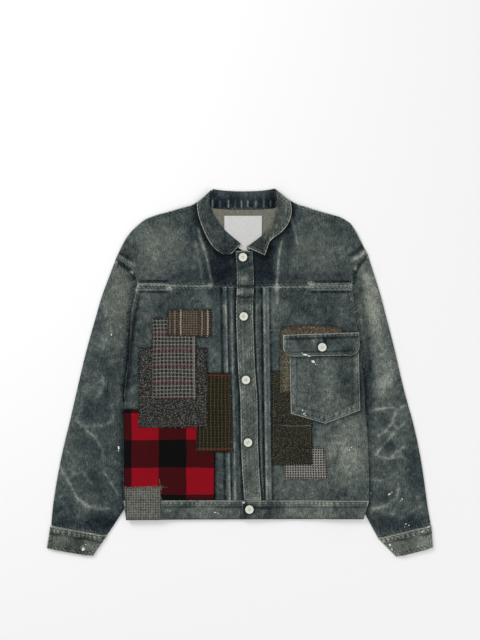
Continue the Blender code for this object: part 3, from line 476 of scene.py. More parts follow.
def pleat(x, y, side):
    """1 on a pressed pleat, with steep sides."""
    top, bottom, width = PLEATS[side]
    amount = (YOKE_SEAM - y) / (YOKE_SEAM - WAIST_SEAM)
    start = top + (bottom - top) * amount
    inside = (y < YOKE_SEAM) & (y > WAIST_SEAM)
    return step(-0.8, 0.8, x - start) * step(0.8, -0.8, x - start - width) * inside


def body_folds(x, y):
    """Height of the folds that every layer of the body shares."""
    total = np.zeros(len(x))
    for line, width, height, _ in BODY_FOLDS:
        total += height * ridge(x, y, line, width)
    calm = step(WAIST_SEAM, WAIST_SEAM + 40, y) * step(362, 330, y)
    return total * calm * sizes().relief


def paleness(x, y, folds):
    """How pale the ridges were rubbed, and how much darker the troughs are; the troughs along the body's edge are
    painted shade.
    """
    total = np.zeros(len(x))
    for line, width, _, pale in folds:
        total += pale * (0.8 * ridge(x, y, line, width * 0.9) + 0.38 * ridge(x, y, line, max(1.6, width * 0.4)))
    return np.clip(0.62 * total, -0.3, 0.32)


def slow_waves(x, y):
    """The gentle unevenness of cloth that was laid down by hand."""
    return (0.30 * np.sin(x / 17 + 1.3 * np.sin(y / 41)) * np.sin(y / 29 + 0.8)
            + 0.22 * np.sin(x / 9.5 - y / 23 + 2 * np.sin(y / 33)))


def washed(x, y, lift=0.0, folds=BODY_FOLDS):
    """Fade, warmth and rubbed white of the denim, from the zones and folds that the wash left, with the painted shade
    that some zones, troughs and tuck rows add.
    """
    fade, warm, white = np.full(len(x), 0.50), np.full(len(x), 0.45), np.zeros(len(x))
    for cx, cy, rx, ry, more, tint in WASH_ZONES:
        near = np.exp(-(((x - cx) / rx) ** 2 + ((y - cy) / ry) ** 2) ** 1.3)
        fade += more * near
        warm += 0.5 * tint * near
    for cx, cy, radius, more in PALE_SPOTS:
        near = np.exp(-((x - cx) ** 2 + (y - cy) ** 2) / radius ** 2)
        fade += 0.6 * more * near
        white += more * near
    fade += paleness(x, y, folds)
    # The tabs' worn pale lines, and painted shadow just above and below them
    for first, last in TUCKS.values():
        across = step(first - 4, first + 2, x) * step(last + 4, last - 2, x)
        for row, more in TUCK_ROWS:
            fade += more * across * np.exp(-((y - row) / 1.8) ** 2)
    return fade + lift, warm, white


def calm(x, y):
    """How even the wash is, from 0 where it is cloudy to 1."""
    total = np.zeros(len(x))
    for cx, cy, rx, ry in CALM_ZONES:
        total = np.maximum(total, np.exp(-(((x - cx) / rx) ** 2 + ((y - cy) / ry) ** 2) ** 2))
    return total


def plan(node):
    """A solid's outline in mm as a closed line."""
    skin = upper_skin(node)
    rim = rim_of(skin)
    skin.free()
    return [tuple(p) for p in rim] + [tuple(rim[0])]


def painted_contact_shade(x, y, above):
    """Painted shade: how much darker the denim is painted beside the edges of the pieces that lie on it, as (node,
    depth, reach).
    """
    total = np.zeros(len(x))
    for node, depth, reach in above:
        line = COLLAR_EDGE[node] if node in COLLAR_EDGE else plan(node)
        total += depth * np.exp(-(line_distance(x, y, line)[0] / reach) ** 2)
    return total


def make_object(name, points, z, faces, materials):
    """A mesh object from a net in mm and its heights."""
    mesh = bpy.data.meshes.new(name)
    spots = np.column_stack([points, z]) * MM
    mesh.from_pydata(spots.tolist(), [], faces.tolist())
    mesh.update()
    for look in materials:
        mesh.materials.append(look)
    mesh.shade_smooth()
    made = bpy.data.objects.new(name, mesh)
    bpy.context.scene.collection.objects.link(made)
    return made


def paint_wash(made, wash, sewing, edge, along):
    """Store the wash, the strength of the seam marks and the place beside the rim for the materials."""
    mesh = made.data
    for name, values in (("wash", wash), ("sewing", sewing)):
        store = mesh.color_attributes.new(name, "FLOAT_COLOR", "POINT")
        packed = np.stack([np.clip(v, 0, 1) for v in values] + [np.ones(len(edge))], 1)
        store.data.foreach_set("color", packed.astype(np.float32).ravel())
    for name, values in (("edge", edge), ("along", along)):
        store = mesh.attributes.new(name, "FLOAT", "POINT")
        store.data.foreach_set("value", values.astype(np.float32))


def stand_for(made, node):
    """Let a finished cloth piece take a solid's place."""
    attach(made, "root")
    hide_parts(node)


def wall_under(made, wall, offset=1):
    """Give the net its thickness below the upper face."""
    thick = made.modifiers.new("Cloth wall", "SOLIDIFY")
    thick.thickness = wall * MM
    thick.offset = -1
    thick.use_even_offset = True
    if len(made.data.materials) > 1:
        thick.material_offset = offset
        thick.material_offset_rim = offset


def let_out(rim):
    """A front's rim, let out under the arm to close the gap where the sleeve turns in below it."""
    x, y = rim.T
    out = 2.3 * step(10, 2, y) * step(-58, -46, y) * (np.abs(x - 8) > 200)
    return np.column_stack([x + np.sign(x) * out, y])


def cloth(node, materials, spacing, **look):
    """Make a cloth piece over its solid: net, folds, soft rim, seam ripples and wash."""
    skin = upper_skin(node)
    rim = soft_rim(rim_of(skin), spacing)
    if node.startswith("front_"):
        rim = let_out(np.asarray(rim))
    if look.get("ragged"):
        rim = ragged(rim, look["ragged"], len(node))
    points, faces, on_rim = net(rim, spacing, look.get("guides", ()))
    x, y = points.T
    z = heights(skin, points)
    skin.free()
    raised = look.get("raised")
    if raised is not None:
        z -= look["raised_cad"](x, y)
    z = relax(z, faces, on_rim, look.get("relax", 10))
    if raised is not None:
        z += raised(x, y)
    closed = [tuple(p) for p in rim] + [tuple(rim[0])]
    edge, along, _ = line_distance(x, y, closed)
    folds = look.get("folds", body_folds)(x, y)
    z = z + folds + slow_waves(x, y) * look.get("waves", 1.0)
    reach, depth = look.get("roll", (1.6, 0.8))
    z -= depth * (1 - np.sqrt(np.clip(1 - (1 - np.clip(edge / reach, 0, 1)) ** 2, 0, 1)))
    pitch, rope_height, rope_reach = look.get("rope", (9.0, 0.0, 8.0))
    ripple = np.sin(2 * math.pi * (along + 0.7 * edge) / pitch) * np.exp(-((edge - 3.5) / rope_reach) ** 2)
    z += rope_height * ripple * look.get("seam_where", lambda a, b: 1.0)(x, y)
    made = make_object(node + "_cloth", points, z, faces, materials)
    fade, warm, white = washed(x, y, look.get("lift", 0.0), look.get("creases", BODY_FOLDS))
    # Painted shade beside the edges of the pieces listed in above
    fade += look.get("marks", lambda a, b: 0.0)(x, y) - painted_contact_shade(x, y, look.get("above", ()))
    ones = np.ones(len(x))
    seam = ones * look.get("seam", 0.0) * look.get("seam_where", lambda a, b: 1.0)(x, y)
    rope = ones * look.get("rope_fade", 0.0) * look.get("seam_where", lambda a, b: 1.0)(x, y)
    warm += look.get("warm", 0.0)
    paint_wash(made, (fade, warm, white), (seam, rope, calm(x, y)), edge, along)
    wall_under(made, look.get("wall", sizes().wall))
    CLOTH[node] = {"rim": rim, "object": made, "tree": tree_of(points, z, faces)}
    return made


def tree_of(points, z, faces):
    """A search tree of a net, to lay thread and buttons on it."""
    return BVHTree.FromPolygons((np.column_stack([points, z]) * MM).tolist(), faces.tolist())


def denim_material():
    """Indigo denim, stone washed and long worn.

    The eye reads mottled grains and short upright slubs, a fine diagonal twill, and seams whose edges
    are rubbed pale in slanting ripples beside a dark groove.
    """
    made, tree, shader = new_material("denim_stone_washed")
    if tree is None:
        return made
    tone = colours()
    place = add(tree, "TexCoord").outputs["Object"]
    wash = add(tree, "Attribute", attribute_name="wash")
    parts = add(tree, "SeparateColor", links={0: wash.outputs["Color"]})
    sewing = add(tree, "Attribute", attribute_name="sewing")
    seams = add(tree, "SeparateColor", links={0: sewing.outputs["Color"]})
    edge = add(tree, "Attribute", attribute_name="edge").outputs["Fac"]
    along = add(tree, "Attribute", attribute_name="along").outputs["Fac"]
    # Slub yarns: real ones are 1 mm wide, drawn 2 mm wide so that they show
    slubs = add(tree, "Mapping", {"Scale": (500, 100, 200)}, {0: place})
    slub = add(tree, "TexNoise", {"Scale": 1.0, "Detail": 2, "Roughness": 0.6}, {0: slubs.outputs[0]})
    grain = add(tree, "TexNoise", {"Scale": 400, "Detail": 3, "Roughness": 0.75}, {0: place})
    mottle = add(tree, "TexNoise", {"Scale": 95, "Detail": 3, "Roughness": 0.6}, {0: place})
    cloud = add(tree, "TexNoise", {"Scale": 23, "Detail": 4, "Roughness": 0.62, "Distortion": 0.9}, {0: place})
    total = parts.outputs[0]
    for texture, strength in ((slub, 0.55), (grain, 0.85), (mottle, 0.45)):
        part = add(tree, "Math", {1: strength, 2: -strength / 2}, {0: texture.outputs[0]},
                   operation="MULTIPLY_ADD")
        total = add(tree, "Math", links={0: total, 1: part.outputs[0]}, operation="ADD").outputs[0]
    cloudy = add(tree, "MapRange", {1: 0.0, 2: 1.0, 3: 0.72, 4: 0.28}, {0: seams.outputs[2]})
    centred = add(tree, "Math", {1: -0.5}, {0: cloud.outputs[0]}, operation="ADD")
    part = add(tree, "Math", links={0: centred.outputs[0], 1: cloudy.outputs[0]}, operation="MULTIPLY")
    total = add(tree, "Math", links={0: total, 1: part.outputs[0]}, operation="ADD").outputs[0]
    # Seam marks over the first 16 mm from the rim: pale edge, dark groove, pale ridge, dark groove
    reach = add(tree, "Math", {1: 16.0}, {0: edge}, operation="DIVIDE")
    marks = add(tree, "ValToRGB", links={0: reach.outputs[0]})
    fill_ramp(marks, [(0.0, 1.0), (0.09, 0.98), (0.16, 0.26), (0.24, 0.56), (0.38, 0.58), (0.52, 0.32),
                      (0.60, 0.54), (0.85, 0.5)])
    mark = add(tree, "Math", {1: -0.5}, {0: marks.outputs[0]}, operation="ADD")
    mark = add(tree, "Math", links={0: mark.outputs[0], 1: seams.outputs[0]}, operation="MULTIPLY")
    total = add(tree, "Math", links={0: total, 1: mark.outputs[0]}, operation="ADD").outputs[0]
    # Slanting ripples every 8 mm, where the seam thread shrank
    slant = add(tree, "Math", {1: 0.8}, {0: edge, 2: along}, operation="MULTIPLY_ADD")
    bent = add(tree, "Math", {1: 30.0}, {0: cloud.outputs[0], 2: slant.outputs[0]}, operation="MULTIPLY_ADD")
    turn = add(tree, "Math", {1: 0.785}, {0: bent.outputs[0]}, operation="MULTIPLY")
    wave = add(tree, "Math", links={0: turn.outputs[0]}, operation="SINE")
    near = add(tree, "MapRange", {1: 7.0, 2: 12.0, 3: 1.0, 4: 0.0}, {0: edge})
    ripple = add(tree, "Math", links={0: wave.outputs[0], 1: near.outputs[0]}, operation="MULTIPLY")
    ripple = add(tree, "Math", links={0: ripple.outputs[0], 1: seams.outputs[1]}, operation="MULTIPLY")
    total = add(tree, "Math", links={0: total, 1: ripple.outputs[0]}, operation="ADD").outputs[0]
    ramp = add(tree, "ValToRGB", links={0: total})
    fill_ramp(ramp, [(0.0, tone.unworn), (0.25, tone.dark), (0.5, tone.middle), (0.75, tone.worn),
                     (1.0, tone.pale)])
    warm = add(tree, "MapRange", {1: 0.5, 2: 1.0, 3: 0.0, 4: 0.8}, {0: parts.outputs[1]})
    cold = add(tree, "MapRange", {1: 0.45, 2: 0.1, 3: 0.0, 4: 0.5}, {0: parts.outputs[1]})
    aged = add(tree, "Mix", {7: (*tone.tint, 1)}, {0: warm.outputs[0], 6: ramp.outputs[0]}, data_type="RGBA",
               blend_type="COLOR")
    blue = add(tree, "Mix", {7: (*tone.indigo, 1)}, {0: cold.outputs[0], 6: aged.outputs[2]},
               data_type="RGBA", blend_type="COLOR")
    broken = add(tree, "Math", {1: 1.6}, {0: grain.outputs[0], 2: parts.outputs[2]}, operation="MULTIPLY_ADD")
    bare = add(tree, "MapRange", {1: 0.95, 2: 1.25, 3: 0.0, 4: 0.75}, {0: broken.outputs[0]})
    only = add(tree, "MapRange", {1: 0.05, 2: 0.2, 3: 0.0, 4: 1.0}, {0: parts.outputs[2]})
    bare = add(tree, "Math", links={0: bare.outputs[0], 1: only.outputs[0]}, operation="MULTIPLY")
    rubbed = add(tree, "Mix", {7: (*linear("#b4b6ae"), 1)}, {0: bare.outputs[0], 6: blue.outputs[2]},
                 data_type="RGBA")
    tree.links.new(rubbed.outputs[2], shader.inputs["Base Color"])
    # Twill lines: real pitch 0.8 mm, drawn 2 mm apart
    twill = add(tree, "TexWave", {"Scale": 80, "Distortion": 1.5, "Detail": 2, "Detail Scale": 3},
                {0: place}, bands_direction="DIAGONAL")
    lift = add(tree, "Math", {1: 0.4}, {0: twill.outputs[1], 2: grain.outputs[0]}, operation="MULTIPLY_ADD")
    groove = add(tree, "Math", {1: 0.6}, {0: mark.outputs[0], 2: lift.outputs[0]}, operation="MULTIPLY_ADD")
    ribs = add(tree, "Math", {1: 2.0}, {0: ripple.outputs[0], 2: groove.outputs[0]}, operation="MULTIPLY_ADD")
    bump = add(tree, "Bump", {"Strength": 0.7, "Distance": 0.0008}, {"Height": ribs.outputs[0]})
    tree.links.new(bump.outputs[0], shader.inputs["Normal"])
    shader.inputs["Roughness"].default_value = 0.95
    shader.inputs["Specular IOR Level"].default_value = 0.1
    return made


def fill_ramp(node, stops):
    """Give a colour ramp its stops, each a grey or a colour."""
    elements = node.color_ramp.elements
    for index, (position, value) in enumerate(stops):
        element = elements[index] if index < 2 else elements.new(position)
        element.position = position
        element.color = (value, value, value, 1) if isinstance(value, float) else (*value, 1)


def inside_material():
    """The weft side of denim, pale taupe with fine diagonal lines."""
    made, tree, shader = new_material("denim_weft_side")
    if tree is None:
        return made
    place = add(tree, "TexCoord").outputs["Object"]
    grain = add(tree, "TexNoise", {"Scale": 420, "Detail": 3}, {0: place})
    ramp = add(tree, "ValToRGB", links={0: grain.outputs[0]})
    ramp.color_ramp.elements[0].position, ramp.color_ramp.elements[1].position = 0.3, 0.7
    ramp.color_ramp.elements[0].color = (*linear("#535249"), 1)
    ramp.color_ramp.elements[1].color = (*linear("#7e7d72"), 1)
    tree.links.new(ramp.outputs[0], shader.inputs["Base Color"])
    bump = add(tree, "Bump", {"Strength": 0.35, "Distance": 0.0005}, {"Height": grain.outputs[0]})
    tree.links.new(bump.outputs[0], shader.inputs["Normal"])
    shader.inputs["Roughness"].default_value = 0.93
    return made


def woven(tree, place, thread, warp, weft):
    """Warp and weft that cross in twill, each seen where it passes over the other."""
    split = add(tree, "SeparateXYZ", links={0: place})
    counts = []
    for axis in (0, 1):
        part = add(tree, "Math", {1: thread * MM}, {0: split.outputs[axis]}, operation="DIVIDE")
        counts.append(add(tree, "Math", links={0: part.outputs[0]}, operation="FLOOR"))
    total = add(tree, "Math", links={0: counts[0].outputs[0], 1: counts[1].outputs[0]}, operation="ADD")
    turn = add(tree, "Math", {1: 4.0}, {0: total.outputs[0]}, operation="FLOORED_MODULO")
    over = add(tree, "Math", {1: 1.5}, {0: turn.outputs[0]}, operation="LESS_THAN")
    return add(tree, "Mix", links={0: over.outputs[0], 6: weft, 7: warp}, data_type="RGBA").outputs[2]


def stripes(tree, place, axis, start, repeat, bands):
    """Bands of colour across one axis, as (end of the band in mm, hex colour), again each repeat."""
    split = add(tree, "SeparateXYZ", links={0: place})
    shift = add(tree, "Math", {1: start * MM}, {0: split.outputs[axis]}, operation="SUBTRACT")
    part = add(tree, "Math", {1: repeat * MM}, {0: shift.outputs[0]}, operation="DIVIDE")
    turn = add(tree, "Math", {1: 1.0}, {0: part.outputs[0]}, operation="FLOORED_MODULO")
    ramp = add(tree, "ValToRGB", links={0: turn.outputs[0]})
    ramp.color_ramp.interpolation = "CONSTANT"
    begin = 0.0
    elements = ramp.color_ramp.elements
    for index, (end, code) in enumerate(bands):
        element = elements[index] if index < 2 else elements.new(begin / repeat)
        element.position = begin / repeat
        element.color = (*linear(code), 1)
        begin = end
    return ramp.outputs[0]


def flecked(tree, pattern, place, size, amount, colours_up):
    """Mix flecks of other yarns into a pattern, from dark to light."""
    noise = add(tree, "TexNoise", {"Scale": 0.75 / (size * MM), "Detail": 2, "Roughness": 0.75}, {0: place})
    ramp = add(tree, "ValToRGB", links={0: noise.outputs[0]})
    fill_ramp(ramp, [(position, linear(code)) for position, code in colours_up])
    return add(tree, "Mix", {0: amount}, {6: pattern, 7: ramp.outputs[0]}, data_type="RGBA").outputs[2]


def single_line(tree, pattern, place, axis, middle, width, code, amount):
    """Lay one coloured thread line over a pattern."""
    split = add(tree, "SeparateXYZ", links={0: place})
    away = add(tree, "Math", {1: middle * MM, 2: width / 2 * MM}, {0: split.outputs[axis]}, operation="COMPARE")
    part = add(tree, "Math", {1: amount}, {0: away.outputs[0]}, operation="MULTIPLY")
    return add(tree, "Mix", {7: (*linear(code), 1)}, {0: part.outputs[0], 6: pattern},
               data_type="RGBA").outputs[2]


def wool_finish(tree, shader, pattern, place, fuzz, thread):
    """Wool's fuzz over a woven pattern: uneven yarns, a sunk and shaded rim, a soft bump and sheen."""
    yarns = add(tree, "TexNoise", {"Scale": 0.8 / (thread * MM), "Detail": 3, "Roughness": 0.7}, {0: place})
    level = add(tree, "MapRange", {1: 0.3, 2: 0.7, 3: 1 - fuzz, 4: 1 + fuzz}, {0: yarns.outputs[0]})
    # The colour is darkened near the rim: painted shade along the patch's edge, and the dark overcast thread there
    edge = add(tree, "Attribute", attribute_name="edge").outputs["Fac"]
    reach = add(tree, "Math", {1: 8.0}, {0: edge}, operation="DIVIDE")
    rim = add(tree, "ValToRGB", links={0: reach.outputs[0]})
    fill_ramp(rim, [(0.0, 0.75), (0.14, 0.55), (0.30, 0.62), (0.5, 0.95), (1.0, 1.0)])
    shade = add(tree, "Math", links={0: level.outputs[0], 1: rim.outputs[0]}, operation="MULTIPLY")
    tinted = add(tree, "Mix", {0: 1.0}, {6: pattern, 7: shade.outputs[0]}, data_type="RGBA",
                 blend_type="MULTIPLY")
    tree.links.new(tinted.outputs[2], shader.inputs["Base Color"])
    high = add(tree, "Math", {1: 0.5}, {0: rim.outputs[0], 2: yarns.outputs[0]}, operation="MULTIPLY_ADD")
    bump = add(tree, "Bump", {"Strength": 0.7, "Distance": 0.0009}, {"Height": high.outputs[0]})
    tree.links.new(bump.outputs[0], shader.inputs["Normal"])
    shader.inputs["Roughness"].default_value = 0.95
    shader.inputs["Specular IOR Level"].default_value = 0.1
    shader.inputs["Sheen Weight"].default_value = 0.03
    shader.inputs["Sheen Roughness"].default_value = 0.6


PATCH_LOOKS = {
    # Brushed wool twill in a large two-colour check, 56 mm squares
    "patch_red_plaid": dict(thread=1.0, fuzz=0.18, deepen=True,
                            warp=(-222, 112, [(56, "#880316"), (112, "#130a0b")]),
                            weft=(-194.8, 112, [(57, "#140b0c"), (112, "#850315")])),
    # Dogtooth of dark and light wool, with rust rows every 33 mm and one cream line
    "patch_houndstooth": dict(thread=0.92, fuzz=0.35,
                              warp=(-176, 7.36, [(4.9, "#0a0b0a"), (7.36, "#7c7b75")]),
                              weft=(-55, 33.12, [(3.4, "#4a161e"), (6.9, "#765f60"), (11.7, "#0a0b0a"),
                                                 (14.3, "#7b7a74"), (19.1, "#0a0b0a"), (21.7, "#7b7a74"),
                                                 (26.5, "#0a0b0a"), (29.1, "#7b7a74"), (33.12, "#32151a")]),
                              lines=[(0, -93.4, 2.2, "#9b9992", 0.8)],
                              flecks=(2.4, 0.16, [(0.42, "#10110f"), (0.62, "#8a8982")])),
    # Salt-and-pepper tweed
    "patch_grey_tweed": dict(thread=1.5, fuzz=0.25, warp=(0, 3.0, [(1.5, "#1a1a17"), (3.0, "#3a3a37")]),
                             weft=(0, 6.0, [(3.0, "#20201d"), (6.0, "#3c3c38")]),
                             flecks=(1.6, 0.78, [(0.44, "#0e0e0d"), (0.54, "#262624"), (0.60, "#5f5f5b"),
                                                 (0.66, "#92928a")])),
    # Dark brown wool with olive lines every 7 mm, and rust lines at its ends
    "patch_brown_check": dict(thread=1.2, fuzz=0.3,
                              warp=(-90.4, 7.4, [(1.9, "#565134"), (7.4, "#0e0b07")]),
                              weft=(-155, 11.0, [(1.6, "#3c3824"), (6, "#110d08"), (7.4, "#302b1c"),
                                                 (11, "#0c0a06")]),
                              lines=[(1, -5.5, 3.2, "#6a2a22", 0.8), (1, -156.5, 2.4, "#7a2c24", 0.75),
                                     (0, -27.0, 2.0, "#43201c", 0.5)],
                              flecks=(2.2, 0.22, [(0.40, "#100d09"), (0.64, "#4c4730")])),
    # Brown tweed with cream and rust stripes beside a fine check
    "patch_striped_tweed": dict(thread=1.2, fuzz=0.3,
                                warp=(-147, 92, [(2.6, "#2a231f"), (4.8, "#85786a"), (12.6, "#28201c"),
                                                 (15.2, "#9d8f7c"), (24.4, "#2a211d"), (27.4, "#c4b8a6"),
                                                 (31, "#241d19"), (33, "#71695c"), (36, "#28231e"),
                                                 (38, "#71695c"), (41, "#28231e"), (43, "#71695c"),
                                                 (46, "#28231e"), (48, "#71695c"), (51, "#28231e"),
                                                 (53, "#71695c"), (56, "#28231e"), (58, "#71695c"),
                                                 (67, "#2c2520"), (69.4, "#a89c8a"), (79, "#30231f"),
                                                 (81.8, "#c8bda8"), (92, "#30201d")]),
                                weft=(74, 4.8, [(2.9, "#27211b"), (4.8, "#544c40")]),
                                flecks=(2.0, 0.22, [(0.40, "#191613"), (0.62, "#7c7263")])),
    # Undyed linen with a fine check
    "patch_linen_check": dict(thread=1.0, fuzz=0.3, open=True,
                              warp=(-239, 5.0, [(3.0, "#181a17"), (5.0, "#75766e")]),
                              weft=(-302, 5.0, [(3.0, "#1a1c19"), (5.0, "#6f7069")]),
                              flecks=(3.0, 0.34, [(0.40, "#1f201d"), (0.64, "#8d8e87")])),
    # Dark wool with an open pale grid
    "patch_open_check": dict(thread=1.1, fuzz=0.3, open=True,
                             warp=(90, 5.2, [(1.4, "#9a9891"), (5.2, "#111210")]),
                             weft=(-218, 5.0, [(1.3, "#96948d"), (5.0, "#111210")]),
                             flecks=(2.6, 0.22, [(0.40, "#131412"), (0.62, "#8e8c85")])),
    # Charcoal and khaki herringbone tweed
    "patch_charcoal_tweed": dict(thread=1.5, fuzz=0.25, warp=(0, 3.0, [(1.5, "#141410"), (3.0, "#393a2e")]),
                                 weft=(0, 12, [(6, "#1a1a15"), (12, "#2d2d25")]),
                                 flecks=(1.8, 0.65, [(0.42, "#0f0f0c"), (0.54, "#28281f"), (0.62, "#565643"),
                                                     (0.70, "#7a7a64")])),
    # Rust and brown tweed behind the pocket, redder along its top
    "patch_brown_tweed": dict(thread=1.5, fuzz=0.3, warp=(0, 3.0, [(1.5, "#2d2c22"), (3.0, "#6b6752")]),
                              weft=(0, 12, [(6, "#383629"), (12, "#585442")]),
                              lines=[(1, 90, 24, "#583a30", 0.45), (0, 83.0, 3.2, "#94896f", 0.7),
                                     (0, 96.0, 5.0, "#7c6a5c", 0.35)],
                              flecks=(1.8, 0.5, [(0.42, "#1b1914"), (0.54, "#4c4a3d"), (0.66, "#a8a18d")])),
}


def patch_material(node):
    """The woven cloth of one patch, drawn thread by thread at its real scale."""
    look = PATCH_LOOKS[node]
    made, tree, shader = new_material(node.replace("patch_", "wool_"))
    if tree is None:
        return made
    place = add(tree, "TexCoord").outputs["Object"]
    # A hand-cut patch is never quite straight, so its threads run in slow waves
    bend = add(tree, "TexNoise", {"Scale": 14, "Detail": 1}, {0: place})
    centred = add(tree, "VectorMath", {1: (0.5, 0.5, 0.5)}, {0: bend.outputs["Color"]}, operation="SUBTRACT")
    scaled = add(tree, "VectorMath", {"Scale": 0.005}, {0: centred.outputs[0]}, operation="SCALE")
    place = add(tree, "VectorMath", links={0: place, 1: scaled.outputs[0]}, operation="ADD").outputs[0]
    start, repeat, bands = look["warp"]
    warp = stripes(tree, place, 0, start, repeat, bands)
    start, repeat, bands = look["weft"]
    weft = stripes(tree, place, 1, start, repeat, bands)
    if look.get("open"):
        # Pale threads stand out over dark holes
        pattern = add(tree, "Mix", {0: 1.0}, {6: warp, 7: weft}, data_type="RGBA",
                      blend_type="LIGHTEN").outputs[2]
    else:
        pattern = woven(tree, place, look["thread"], warp, weft)
    if "deepen" in look:
        # Where red crosses black, the dark threads swallow most of the light
        tones = []
        for axis, (first, span, bands) in ((0, look["warp"]), (1, look["weft"])):
            low = [(end, "#ffffff" if linear(code)[0] > 0.1 else "#a2a2a2") for end, code in bands]
            tones.append(stripes(tree, place, axis, first, span, low))
        pattern = add(tree, "Mix", {0: 1.0}, {6: pattern, 7: tones[0]}, data_type="RGBA",
                      blend_type="MULTIPLY").outputs[2]
        pattern = add(tree, "Mix", {0: 1.0}, {6: pattern, 7: tones[1]}, data_type="RGBA",
                      blend_type="MULTIPLY").outputs[2]
    for line in look.get("lines", ()):
        pattern = single_line(tree, pattern, place, *line)
    if "flecks" in look:
        size, amount, ramp = look["flecks"]
        pattern = flecked(tree, pattern, place, size, amount, ramp)
    wool_finish(tree, shader, pattern, place, look["fuzz"], look["thread"])
    return made


def plain_material(name, value, roughness, grain=0.0005):
    """Smooth moulded or woven trim in one colour with a fine grain."""
    made, tree, shader = new_material(name)
    if tree is None:
        return made
    place = add(tree, "TexCoord").outputs["Object"]
    noise = add(tree, "TexNoise", {"Scale": 300, "Detail": 3}, {0: place})
    level = add(tree, "MapRange", {1: 0.3, 2: 0.7, 3: 0.92, 4: 1.05}, {0: noise.outputs[0]})
    tinted = add(tree, "Mix", {0: 1.0, 6: (*value, 1)}, {7: level.outputs[0]}, data_type="RGBA",
                 blend_type="MULTIPLY")
    tree.links.new(tinted.outputs[2], shader.inputs["Base Color"])
    bump = add(tree, "Bump", {"Strength": 0.25, "Distance": grain}, {"Height": noise.outputs[0]})
    tree.links.new(bump.outputs[0], shader.inputs["Normal"])
    shader.inputs["Roughness"].default_value = roughness
    return made


def line_mark(away, width):
    """A soft line, 1 where away is nothing."""
    return np.exp(-(away / width) ** 2)


def pleat_pale_lines_and_shadow(x, y, side):
    """A pressed pleat: pale on its top and edges, with painted shadow in the dark crease beside each edge and beside
    the placket's edge.
    """
    top, bottom, width = PLEATS[side]
    start = top + (bottom - top) * (YOKE_SEAM - y) / (YOKE_SEAM - WAIST_SEAM)
    t = x - start
    inside = step(-1, 1, t) * step(width + 1, width - 1, t)
    placket_side = x - np.interp(y, [-261, -200, -138, -50, -5, 87, 174], [9, 4.5, 2, 1, -3, -7, -6])
    uneven = 0.75 + 0.25 * np.sin(y / 23 + 1.3) * np.sin(y / 8.7)
    if side == "right":
        marks = 0.46 * line_mark(t + 3.4, 1.5) - 0.56 * line_mark(t - 0.6, 1.8) + 0.12 * inside
        marks += 0.10 * step(-12, -9, t) * step(-2, -5, t) - 0.46 * line_mark(t + 13.4, 2.2)
        marks += 0.30 * line_mark(t - 7.5, 1.8) - 0.42 * line_mark(placket_side + 3, 2.4)
    else:
        marks = 0.44 * line_mark(t - 2.6, 1.5) - 0.62 * line_mark(t + 1.8, 1.9) + 0.14 * inside
        marks += 0.26 * line_mark(t - width + 1.2, 1.4) - 0.32 * line_mark(t - width - 2.8, 2.4)
        marks += 0.40 * line_mark(placket_side - 40, 1.4) - 0.50 * line_mark(placket_side - 36.8, 1.7)
    return marks * uneven


def pleat_lines(side, shifts):
    """Lines that follow a pleat at some distances from its first edge."""
    top, bottom, _ = PLEATS[side]
    return [[(top + shift, YOKE_SEAM), (bottom + shift, WAIST_SEAM)] for shift in shifts]


def pleat_guides(side):
    """The lines along a pleat's two edges."""
    return pleat_lines(side, (0, PLEATS[side][2]))


class JACKET_OT_body(bpy.types.Operator):
    """Make the back, the fronts and the yokes."""

    bl_idname = "jacket.body"
    bl_label = "Body"

    def execute(self, context):
        denim, inside = denim_material(), inside_material()
        net_size = sizes().panel_net
        back = cloth("back_panel", [inside, denim], net_size * 1.3, wall=1.3, waves=0.4, creases=[],
                     folds=lambda x, y: 0.0 * x, seam=0.4)
        stand_for(back, "back_panel")
        for side in SIDES:
            first, last = TUCKS[side]
            tabs = [[(first, row), (last, row)] for row, _ in TUCK_ROWS if abs(row - YOKE_SEAM) > 3]
            # The collar leaf's edge and the placket cast painted shade on the yoke beside them
            yoke = cloth("yoke_" + side, [denim, inside], net_size, seam=0.7, rope_fade=0.09,
                         guides=YOKE_CREASES[side] + tabs[:2], seam_where=yoke_sewn,
                         rope=(8.0, 0.25, 5.0), above=[(side, 0.42, 9.0), ("placket", 0.16, 3.5)])
            stand_for(yoke, "yoke_" + side)

            def pleated(x, y, side=side):
                return PLEAT_RISE * pleat(x, y, side)

            def pleat_marks(x, y, side=side):
                return pleat_pale_lines_and_shadow(x, y, side)

            marks = (-13.4, -3.4, 6.5) if side == "right" else (-2.2, 2.8, 15.3)
            front = cloth("front_" + side, [denim, inside], net_size,
                          guides=pleat_guides(side) + pleat_lines(side, marks) + tabs[2:],
                          raised=pleated, raised_cad=pleated, rope=(8.0, 0.25, 5.0), seam=0.65, rope_fade=0.10,
                          marks=pleat_marks, above=LYING_ON_FRONT[side], seam_where=side_fold_free)
            stand_for(front, "front_" + side)
        return {"FINISHED"}


